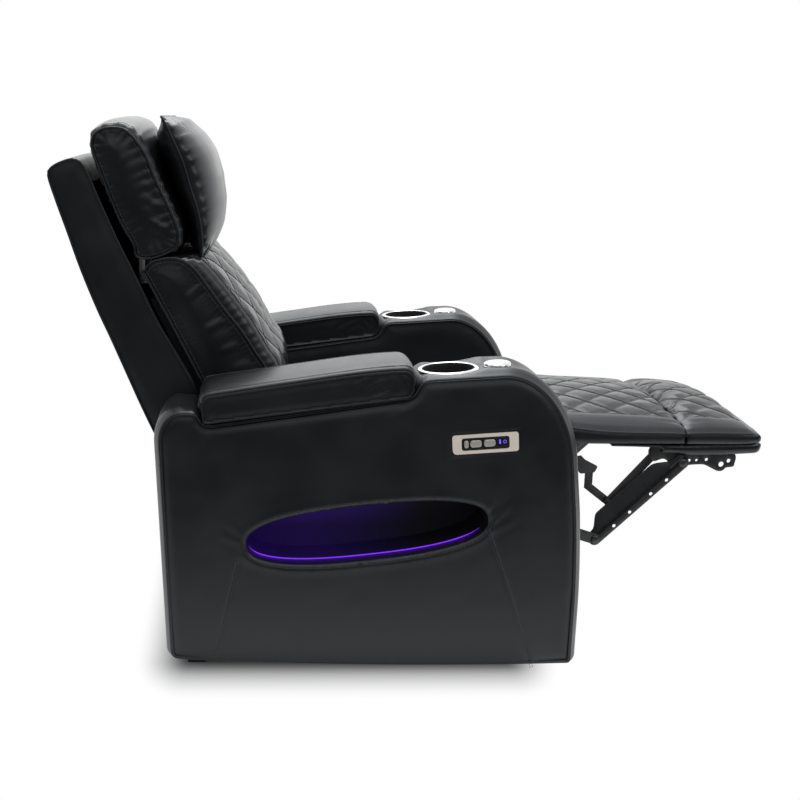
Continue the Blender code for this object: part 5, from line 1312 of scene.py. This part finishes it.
def add_pillow():
    """A soft pillow of two panels, gathered into its seam, with pinched corners."""
    table = np.array(PILLOW_TABLE) * (1, 1, MM, MM) + (SHIFT, 0, 0, 0)
    line = smooth_line(table[:, :2], 1 * MM, closed=False)
    lengths, knots = run_length(line), run_length(table[:, :2])
    total = lengths[-1]
    v = np.sin(np.linspace(-1, 1, 90) * math.pi / 2) * 0.5 + 0.5
    seam = np.column_stack([np.interp(v * total, lengths, line[:, i]) for i in range(2)])
    normal = outward(seam, closed=False)
    normal = normal * -np.sign(normal[:, 0].mean())
    t = np.linspace(-1, 1, 150)
    grid_u, grid_v = np.meshgrid(0.4 * t + 0.6 * np.sin(t * math.pi / 2), v)
    away_u, away_v = (1 - np.abs(grid_u)) * PILLOW_HALF, np.minimum(grid_v, 1 - grid_v) * total
    # The side seams curve in between the corners, and the corners stand out a little
    pull = 12 * MM * (1 - (2 * grid_v - 1) ** 2)
    across = grid_u * (PILLOW_HALF + 5 * MM - pull)
    around = np.where(away_u < away_v, grid_v * total, grid_u * PILLOW_HALF)
    edge, corner = np.minimum(away_u, away_v), np.exp(-np.hypot(away_u, away_v) / (26 * MM))
    gather = puckers(around, edge, 3.0, 26, 22, 1.1) + puckers(around + 0.1, edge, 0.9, 11, 9, 2.3)
    skin, trim, sewn, panels = Skin(), Skin(), Skin(), []
    for sign, column, share in ((1, 2, 1), (-1, 3, 0.5)):
        depth = np.interp(v, knots / knots[-1], table[:, column])
        depth[1:-1] = np.convolve(depth, (0.25, 0.5, 0.25), "same")[1:-1]
        out = depth[:, None] * (1 - np.abs(grid_u) ** 2.6) ** 0.42 * (1 - 0.25 * corner) + gather * share
        out[0], out[-1], out[:, 0], out[:, -1] = 0, 0, 0, 0
        spots = seam[:, None] + sign * normal[:, None] * out[..., None]
        panels.append(np.concatenate((across[..., None], spots), axis=-1))
        skin.rows(panels[-1], around=False)
    dress(skin.build("headrest_pillow_cover", GATHERED), "headrest", "headrest_pillow", True)
    rows = panels[0]
    rim = np.vstack((rows[0], rows[1:, -1], rows[-1, -2::-1], rows[-2:0:-1, 0]))
    add_tube(trim, even(rim, 4 * MM), 2.7 * MM)
    dress(trim.build("headrest_pillow_piping", PIPING), "headrest", "headrest_pillow")
    for row, rise in ((4, -0.6), (-5, 0.6)):
        add_stitches(sewn, rows[row, 4:-4], (0.0, -0.8, rise))
    add_thread(sewn, "headrest_pillow_stitches", "headrest", "headrest_pillow")


SHELL_TABLE = (
    (0.5740, 1.0010, 0, 0), (0.5470, 0.9380, 0, 0), (0.5110, 0.8570, 0, 0), (0.4750, 0.7830, 0, 0),
    (0.4350, 0.6990, 0, 0), (0.4010, 0.6400, 0, 0), (0.3640, 0.5750, 0, 0), (0.3440, 0.5280, 0, 0),
    (0.3080, 0.4550, 0, 0), (0.2920, 0.4020, 0, 0, 1), (0.3900, 0.3640, 0, 0, 1), (0.4370, 0.4560, 3, 0),
    (0.4660, 0.5180, 3, 0), (0.4940, 0.5830, 3, 0), (0.5270, 0.6600, 3, 0), (0.5550, 0.7230, 3, 0),
    (0.5860, 0.8020, 3, 0), (0.6110, 0.8760, 3, 0), (0.6320, 0.9370, 3, 0), (0.6470, 0.9860, 3, 1),
    (0.6430, 1.0020, 2, 3), (0.6220, 1.0150, 0, 4), (0.5940, 1.0210, 0, 4),
)
SHELL_INNER = 0.243
HOLLOW = ((0.4598, 0.430), (0.2806, 0.4714), (0.5136, 0.9865), (0.7018, 0.951))
SHELL_CREASES = (((0.560, 0.960), (0.585, 0.985), 0.8, 8.0), ((0.480, 0.600), (0.470, 0.560), 0.8, 9.0))
REAR_LOW, REAR_HIGH = np.array((0.4215, 0.445)), np.array((0.6300, 0.960))


def add_back_shell():
    """The upholstered back: its sides and top round a hollow."""
    pad = Cushion(SHELL_TABLE, 0.2635, 9, 44, 8, 0.6, 2.2)
    pad.lay(lambda x, edge: 0.0)
    pad.close(3.5, 9, SHELL_CREASES, reach=22)
    shell, tool = pad.skin.build("back_shell", LEATHER, LINING), Skin()
    tool.rows([at_x(x, np.array(HOLLOW) + (SHIFT, 0)) for x in (-SHELL_INNER, SHELL_INNER)], capped=True)
    carve(shell, tool.build("hollow_tool", LINING))
    for polygon in shell.data.polygons:
        polygon.use_smooth = True
        if abs(polygon.center.x) < SHELL_INNER + 0.5 * MM and abs(polygon.normal.x) > 0.9:
            polygon.material_index = 1
    shell.data.set_sharp_from_angle(angle=math.radians(50))
    dress(shell, "back", "back_frame", True)
    pad.pipe(0.6, pad.normals * 0.4, 2.4)
    dress(pad.trim.build("back_piping", PIPING), "back", "back_frame")


def add_rear_panel():
    """The back's domed rear panel with its piping and stitches."""
    span = np.linalg.norm(REAR_HIGH - REAR_LOW)
    way = (REAR_HIGH - REAR_LOW) / span
    normal = np.array((way[1], -way[0]))
    out_at = np.array((0, *normal))
    gu, gv = np.meshgrid(*(np.sin(np.linspace(-1, 1, count) * math.pi / 2) for count in (44, 46)))
    gv = gv * 0.5 + 0.5
    dome = ((1 - gu**2) ** 0.3) * ((1 - (2 * gv - 1) ** 2) ** 0.3)
    dome = dome * 5.5 * MM + 0.5 * MM * wobble(gu * 5 + gv * 3, 0.4) * dome
    skin, trim, sewn, edges = Skin(), Skin(), Skin(), []
    for out in (dome, np.full(dome.shape, -6 * MM)):
        line = REAR_LOW + gv[..., None] * span * way + out[..., None] * normal + (SHIFT, 0)
        rows = np.concatenate((gu[..., None] * (SHELL_INNER - 0.8 * MM), line), axis=-1)
        skin.rows(rows, around=False)
        edges.append(np.vstack((rows[0], rows[1:, -1], rows[-1, -2::-1], rows[-2:0:-1, 0])))
    skin.rows(edges)
    dress(skin.build("back_rear_panel", LEATHER), "back", "back_cover", True)
    add_tube(trim, even(edges[0] + out_at * 0.5 * MM, 5 * MM), 2.0 * MM)
    dress(trim.build("back_rear_piping", PIPING), "back", "back_cover")
    centre = np.array((0.0, *(REAR_LOW + way * span / 2 + (SHIFT, 0))))
    ring = centre + (edges[0] - centre) * (0.955, 0.972, 0.972) + out_at * 3.4 * MM
    add_stitches(sewn, ring, out_at, closed=True)
    add_thread(sewn, "back_rear_stitches", "back", "back_cover")


SEAT_TABLE = (
    (-0.3745, 0.3890, 0, 0), (-0.2010, 0.3885, 0, 0), (-0.0170, 0.3885, 0, 0), (0.1290, 0.3890, 0, 0),
    (0.1395, 0.4200, 0, 0), (0.1340, 0.4530, 0, 2), (0.0980, 0.4660, 0, 6), (-0.0020, 0.4740, 0, 9),
    (-0.1220, 0.4840, 0, 11), (-0.2430, 0.4930, 0, 12), (-0.3250, 0.4960, -2, 12), (-0.3700, 0.4860, -5, 8),
    (-0.3840, 0.4500, -5, 0), (-0.3845, 0.4120, -1, 0),
)


def add_seat():
    pad = Cushion(SEAT_TABLE, 0.2630, 4.5, 190, 40, 0.75, 2.0)
    upwards, back = pad.normals[:, 1], pad.base[:, 0] - SHIFT
    top = smoothstep(0.55, 0.85, upwards) * smoothstep(-0.375, -0.35, back)
    along = pad.along - pad.along[np.argmin(np.abs(back + 0.36) + (upwards < 0.5))]
    diamond = 0.104, 0.104

    def relief(x, edge):
        body = smoothstep(pad.strip, pad.strip + 12 * MM, edge)
        up = quilt(x, along, diamond, 8 * MM, 15 * MM) * top * body
        up += 5 * MM * top * (1 - body) * smoothstep(0, 10 * MM, edge)
        up -= 2.5 * MM * bell(edge - pad.strip, 3.5 * MM) * top
        return up + puckers(pad.along, edge, 0.7, 16, 8, 0.5)

    pad.lay(relief)
    pad.close(4, 8, reach=24)
    pad.pipe(0.8, pad.normals * 0.6, 2.4)
    pad.sew_diamonds(4, along, top, diamond)
    pad.hang("seat", "chair", "seat_cushion")


FOOT_TABLE = (
    (-0.6935, 0.4645, 3, 26, 1), (-0.6935, 0.4435, 0, 0, 1), (-0.5800, 0.4425, 0, 0), (-0.4800, 0.4425, 0, 0),
    (-0.4350, 0.4440, 0, 0), (-0.4080, 0.4520, 2, 0), (-0.4000, 0.4700, 4, 10), (-0.4180, 0.4800, 2, 30),
    (-0.4600, 0.4740, 0, 43), (-0.5200, 0.4680, 0, 50), (-0.5800, 0.4660, 0, 50), (-0.6400, 0.4655, 0, 45),
    (-0.6750, 0.4650, 0, 38),
)
END_TABLE = (
    (-0.6975, 0.4435, 0, 0, 1), (-0.6975, 0.4645, -1, 24, 1), (-0.7150, 0.4655, -1, 37),
    (-0.7450, 0.4660, -1, 43),
    (-0.7800, 0.4660, 0, 39), (-0.8150, 0.4655, 0, 33), (-0.8420, 0.4650, 0, 20), (-0.8560, 0.4640, -4, 8),
    (-0.8600, 0.4560, -5, 2), (-0.8540, 0.4475, -4, 0), (-0.8200, 0.4440, 0, 0), (-0.7600, 0.4435, 0, 0),
)
FOOT_CREASE = 0.6955


def add_foot_pad(name, table, node):
    """A quilted pad with plain borders, gathered into the crease between the two pads."""
    pad = Cushion(table, 0.2600, 3.8, 190, 58, 0.50, 2.0)
    top, forward = smoothstep(15 * MM, 26 * MM, pad.reach[:, 1]), SHIFT - pad.base[:, 0]
    diamond = 0.088, 0.092

    def relief(x, edge):
        body = smoothstep(pad.strip, pad.strip + 8 * MM, edge)
        up = quilt(x, forward, diamond, 3.4 * MM, 12 * MM) * top * body
        up += 3.5 * MM * top * (1 - body) * smoothstep(0, 14 * MM, edge)
        up -= 2.4 * MM * bell(edge - pad.strip, 3.2 * MM) * top
        up += puckers(x, np.abs(forward - FOOT_CREASE), 2.4, 36, 30, 0.9) * top
        return up + puckers(pad.along, edge, 0.6, 15, 8, 0.5)

    pad.lay(relief)
    pad.close(2.5, 5, reach=8)
    here = np.where(top > 0.2)[0]
    breaks = np.where(np.diff(here) > 1)[0]
    if len(breaks):
        here = np.roll(here, -breaks[0] - 1)
    pad.pipe(0.6, np.array((0, 0.8)), 2.0, here, closed=False)
    pad.sew_diamonds(2, forward, top, diamond)
    pad.hang(name, "footrest", node)


BOARD_TABLE = (
    (-0.5400, 0.4405, 0, 0, 1), (-0.5400, 0.4320, 0, 0, 1), (-0.6400, 0.4300, 0, 0), (-0.6460, 0.4215, 0, 0),
    (-0.6560, 0.4186, 0, 0), (-0.6840, 0.4176, 0, 0), (-0.7100, 0.4146, 0, 0), (-0.7700, 0.4150, 0, -1),
    (-0.8300, 0.4180, 0, -1), (-0.8580, 0.4210, -2, -1), (-0.8660, 0.4320, -3, 0), (-0.8600, 0.4435, -2, 0),
    (-0.8000, 0.4425, 0, 0), (-0.7000, 0.4400, 0, 0), (-0.6500, 0.4395, 0, 0),
)


def add_foot_board():
    """The wrapped board under the pads."""
    pad = Cushion(BOARD_TABLE, 0.2490, 4, 60, 14, 0.8, 2.0)
    pad.lay(lambda x, edge: 0.0)
    for row, edge in zip(pad.rows, pad.edge):
        row[:, 1:] -= pad.normals * (3.2 * MM * (1 - smoothstep(0, 7 * MM, edge)) ** 2)
        row[:, 2] += 0.5 * MM * wobble(pad.along * 30, 0.2)
    pad.skin.rows(pad.rows)
    for sign, row in ((-1, 0), (1, -1)):
        puffed_cap(pad.skin, pad.rows[row][:, 1:], sign * pad.half, sign, 2.5, 5, reach=9)
    dress(pad.skin.build("footrest_board_cover", BOARD_HIDE), "footrest", "footrest_board", True)


# The footrest's links: pins in the side view, and the pressed channel's section as (offset, x) in mm
LINK_LOW, LINK_HIGH = np.array((-0.41082, 0.22388)), np.array((-0.59186, 0.39803))
GUIDE_LOW, GUIDE_HIGH = (-0.44090, 0.30210), (-0.53579, 0.41207)
CRANK_HOLES = ((-0.39580, 0.35600), (-0.41750, 0.31980))
CHANNEL_SECTION = np.array((
    (13.8, 248.6), (13.0, 250.6), (11.0, 251.2), (2.0, 251.2), (-0.4, 250.4), (-1.6, 248.2), (-2.6, 243.2),
    (-4.6, 239.6), (-9.0, 238.6), (-37.0, 237.2), (-38.6, 236.6), (-39.0, 235.8), (-38.0, 235.0), (-8.0, 235.0),
    (-3.0, 235.6), (0.4, 240.4), (2.4, 246.8), (4.0, 248.0), (11.0, 248.0),
))
LINK_HOLES, LINK_HOLE_LINE = (0.20, 0.38, 0.62, 0.80), 5.5 * MM
# Turned forms of the rivets, of the rim round a hole, and of the punch
RIVET = ((0.0, 3.6), (3.0, 3.5), (6.2, 2.9), (8.4, 1.8), (9.4, 0.4), (9.6, -0.4))
SMALL_RIVET = ((0.0, 2.6), (2.4, 2.5), (4.6, 1.9), (6.0, 0.9), (6.4, -0.3))
HOLE_RIM = ((3.2, -0.4), (3.3, 0.25), (3.9, 0.5), (4.8, 0.3), (5.1, -0.3))
PUNCH = ((0.0, 0.0), (3.9, 0.0), (3.9, 20.0), (0.0, 20.0))


def turn_out(name, sign, *heads):
    """Turned forms that stand out of the side view: each is (spot, x in mm, form)."""
    skin = Skin()
    for spot, x, form in heads:
        lathe(skin, form, (sign * x * MM, *spot), steps=28, sideways=sign)
    return skin.build(name, STEEL)


def add_links(side, sign):
    """The pressed channel link with its punched holes, and the riveted heads of the link pins."""
    span, cap = np.linalg.norm(LINK_HIGH - LINK_LOW), 14 * MM
    way = (LINK_HIGH - LINK_LOW) / span
    across = np.array((-way[1], way[0]))
    ends = cap * (1 - np.cos(np.linspace(0.08, 1, 9) * math.pi / 2))
    places = np.concatenate((-cap + ends, np.linspace(0.02, 0.98, 40) * span, (span + cap - ends)[::-1]))
    rows = []
    for s in places:
        off, x = (CHANNEL_SECTION * MM).T
        low = 1 - smoothstep(0.03, 0.17, s / span) * (1 - smoothstep(0.78, 0.97, s / span))
        off = np.where(off < -6 * MM, -6 * MM + (off + 6 * MM) * (1 - low * 0.74), off)
        off = off * math.sqrt(max(1 - (max(-s, s - span, 0) / cap) ** 2, 0.004))
        rows.append(at_x(sign * x, LINK_LOW + way * s + off[:, None] * across))
    skin = Skin()
    skin.rows(rows, capped=True)
    link = skin.build(f"link_channel_{side}", STEEL)
    holes = [LINK_LOW + way * span * share + across * LINK_HOLE_LINE for share in LINK_HOLES]
    carve(link, turn_out("punch_tool", sign, *((spot, 240.0, PUNCH) for spot in holes)))
    heads = turn_out(f"link_heads_{side}", sign, (LINK_LOW, 251.0, RIVET), (LINK_HIGH, 251.0, RIVET))
    dress(heads, "channel_links", f"channel_link_{side}")
    for polygon in link.data.polygons:
        polygon.use_smooth = True
    link.data.set_sharp_from_angle(angle=math.radians(40))
    dress(link, "channel_links", f"channel_link_{side}", True)
    rivet = turn_out(f"guide_rivet_{side}", sign, (GUIDE_HIGH, 233.2, SMALL_RIVET))
    dress(rivet, "guide_links", f"guide_link_{side}")
    rims = ((spot, 222.0, HOLE_RIM) for spot in CRANK_HOLES)
    rivet = turn_out(f"crank_rivet_{side}", sign, (GUIDE_LOW, 228.6, SMALL_RIVET), *rims)
    dress(rivet, "crank_links", f"crank_link_{side}")


BRACKET_EDGE = (
    (-0.5252, 0.4041), (-0.5343, 0.3965), (-0.5560, 0.4020), (-0.5777, 0.3850), (-0.5882, 0.3815),
    (-0.6079, 0.3880), (-0.6401, 0.3902), (-0.6522, 0.3870), (-0.6662, 0.3800), (-0.6780, 0.3752),
    (-0.6880, 0.3765), (-0.6954, 0.3832), (-0.7080, 0.3850), (-0.7130, 0.3900), (-0.7100, 0.4160),
    (-0.6534, 0.4215), (-0.6060, 0.4225), (-0.5500, 0.4265), (-0.5240, 0.4260), (-0.5212, 0.4120),
)
# Punched holes: y, z and radius in mm
BRACKET_HOLES = (
    (-0.6122, 0.3985, 3.6), (-0.6284, 0.3995, 3.0), (-0.6504, 0.4010, 3.6), (-0.6840, 0.3905, 6.0),
    (-0.7000, 0.3985, 4.5),
)
STOP_EDGE = ((-0.5241, 0.4335), (-0.5222, 0.4120), (-0.5360, 0.4010), (-0.5540, 0.4170), (-0.5513, 0.4320))
# The rubber stop's levels: x and how far it stands out, in mm
STOP_LEVELS = ((233.6, -1.6), (234.0, -0.4), (235.0, 0.0), (243.0, 0.0), (244.4, -0.5), (245.0, -2.0))
BRACKET_FACES = (233.4, 229.0)


def add_bracket(side, sign):
    """The bracket under the board: pressed sheet with punched holes and bevelled edges, and its stop."""
    node = f"footrest_bracket_{side}"
    border = smooth_line(BRACKET_EDGE, 2.5 * MM)
    holes = [np.array((y, z)) + radius * MM * circle(20) for y, z, radius in BRACKET_HOLES]
    skin, stop = Skin(), Skin()
    flat, faces, _ = fill(border, 9 * MM, holes)
    for x in BRACKET_FACES:
        skin.add(at_x(sign * x * MM, flat), faces)
    for loop in [border] + holes:
        skin.rows([at_x(sign * x * MM, loop) for x in BRACKET_FACES])
    bracket = skin.build(f"bracket_plate_{side}", STEEL)
    bevel = bracket.modifiers.new("edge", "BEVEL")
    bevel.width, bevel.segments, bevel.limit_method = 0.7 * MM, 2, "ANGLE"
    apply_modifiers(bracket)
    bracket.data.set_sharp_from_angle(angle=math.radians(35))
    dress(bracket, "footrest", node, True)
    outline = smooth_line(STOP_EDGE, 2.5 * MM)
    out = outward(outline)
    stop.rows([at_x(sign * x * MM, outline + out * push * MM) for x, push in STOP_LEVELS], capped=True)
    pad = stop.build(f"bracket_stop_{side}", PLASTIC)
    pad.data.set_sharp_from_angle(angle=math.radians(50))
    dress(pad, "footrest", node)


# The switch plate's raised forms: where they sit, their size and corner radius in mm, and their
# levels as (x, inset) in mm
KEY_LEVELS = ((449.6, 0.0), (454.6, 0.0), (455.3, 0.25), (455.8, 0.9), (456.0, 2.4))
KEYS = (
    ("power_button", (-0.08118, 0.48901), (8.6, 15.4), 4.0),
    ("recline_rocker", (-0.10013, 0.49037), (22.6, 14.2), 5.0),
    ("headrest_rocker", (-0.12756, 0.49233), (22.6, 14.2), 5.0),
)
SLOT_LEVELS = ((454.2, 0.0), (454.9, 0.0), (455.1, 0.4))
SLOT_SPOT, SLOT_SIZE, SLOT_RADIUS = (-0.1477, 0.4952), (3.6, 9.0), 1.4
MARK_SPOT, MARK_RADIUS = (-0.1575, 0.4958), 2.9 * MM


def raised(name, middle, size, radius, levels, made):
    """A small raised form with rounded corners."""
    skin, rows = Skin(), []
    for x, less in levels:
        loop = rounded((size[0] - 2 * less, size[1] - 2 * less), max(radius - less, 0.3), 8) * MM
        rows.append(at_x(-x * MM, turned(loop, middle, PLATE_TILT)))
    skin.rows(rows, capped=True)
    obj = skin.build(name, made)
    obj.data.set_sharp_from_angle(angle=math.radians(50))
    return obj


def add_keys():
    """The button and the two rockers of the hand switches, and the lit marks beside them."""
    for name, middle, size, radius in KEYS:
        dress(raised(name + "_key", middle, size, radius, KEY_LEVELS, KEY_METAL), name, name, True)
    slot = raised("charge_slot", SLOT_SPOT, SLOT_SIZE, SLOT_RADIUS, SLOT_LEVELS, ICON_LIGHT)
    dress(slot, "chair", "switch_housing")
    skin = Skin()
    add_tube(skin, at_x(-0.4547, MARK_SPOT + MARK_RADIUS * circle(28)), 0.6 * MM)
    dress(skin.build("light_mark", ICON_LIGHT), "chair", "switch_housing")


def add_pocket_strip(side, sign):
    """The light strip inside the pocket's lower lip."""
    loop = pocket_loop(-2.4, 360)[205:350]
    run = np.arange(len(loop))
    taper = np.clip(np.minimum(run, run[::-1]) / 18, 0.25, 1)
    skin = Skin()
    add_tube(skin, at_x(sign * (POCKET_MOUTH_X - 1.2 * MM), loop), 1.4 * MM * taper, closed=False)
    dress(skin.build(f"pocket_strip_{side}", LIGHT_STRIP), "chair", f"pocket_light_{side}", True)


for side_and_sign in SIDES:
    for add_piece in (add_links, add_bracket, add_pocket_strip):
        add_piece(*side_and_sign)
add_keys()
add_lumbar()
add_headrest_block()
add_pillow()
add_back_shell()
add_rear_panel()
add_seat()
add_foot_pad("footrest_pad", FOOT_TABLE, "footrest_pad")
add_foot_pad("footrest_end", END_TABLE, "footrest_end_pad")
add_foot_board()

# Kept parts, each with the finish of the first row that names it

FINISHES = (
    (POCKET_LINING_WITH_PAINTED_GLOW, ("pocket_tub",)),
    (LIGHT_STRIP, ("pocket_light",)),
    (CHAMPAGNE, ("switch_plate",)),
    (GLOSS_PLASTIC, ("switch_housing",)),
    (KEY_METAL, ("power_button", "rocker")),
    (BOARD, ("seat_frame", "lid_board")),
    (LINING, ("back_support",)),
    (BRIGHT_STEEL, ("seat_spring", "headrest_rod")),
    (PLASTIC, ("headrest_arm", "storage_bin", "foot_skid", "motor", "recline_block", "footrest_block")),
    (STEEL, ("side_plate", "cross_tube", "shaft", "link", "footrest_bracket")),
    (CHROME, ("tray_cap", "cup_holder")),
    (LEATHER, ("",)),
)
for name in NODES:
    finish_node(name, next(made for made, words in FINISHES if any(word in name for word in words)))

# View transform, and a helper for a box's corners

bpy.context.scene.view_settings.view_transform = "Standard"


def plain(box):
    return [[float(v) for v in corner] for corner in box]
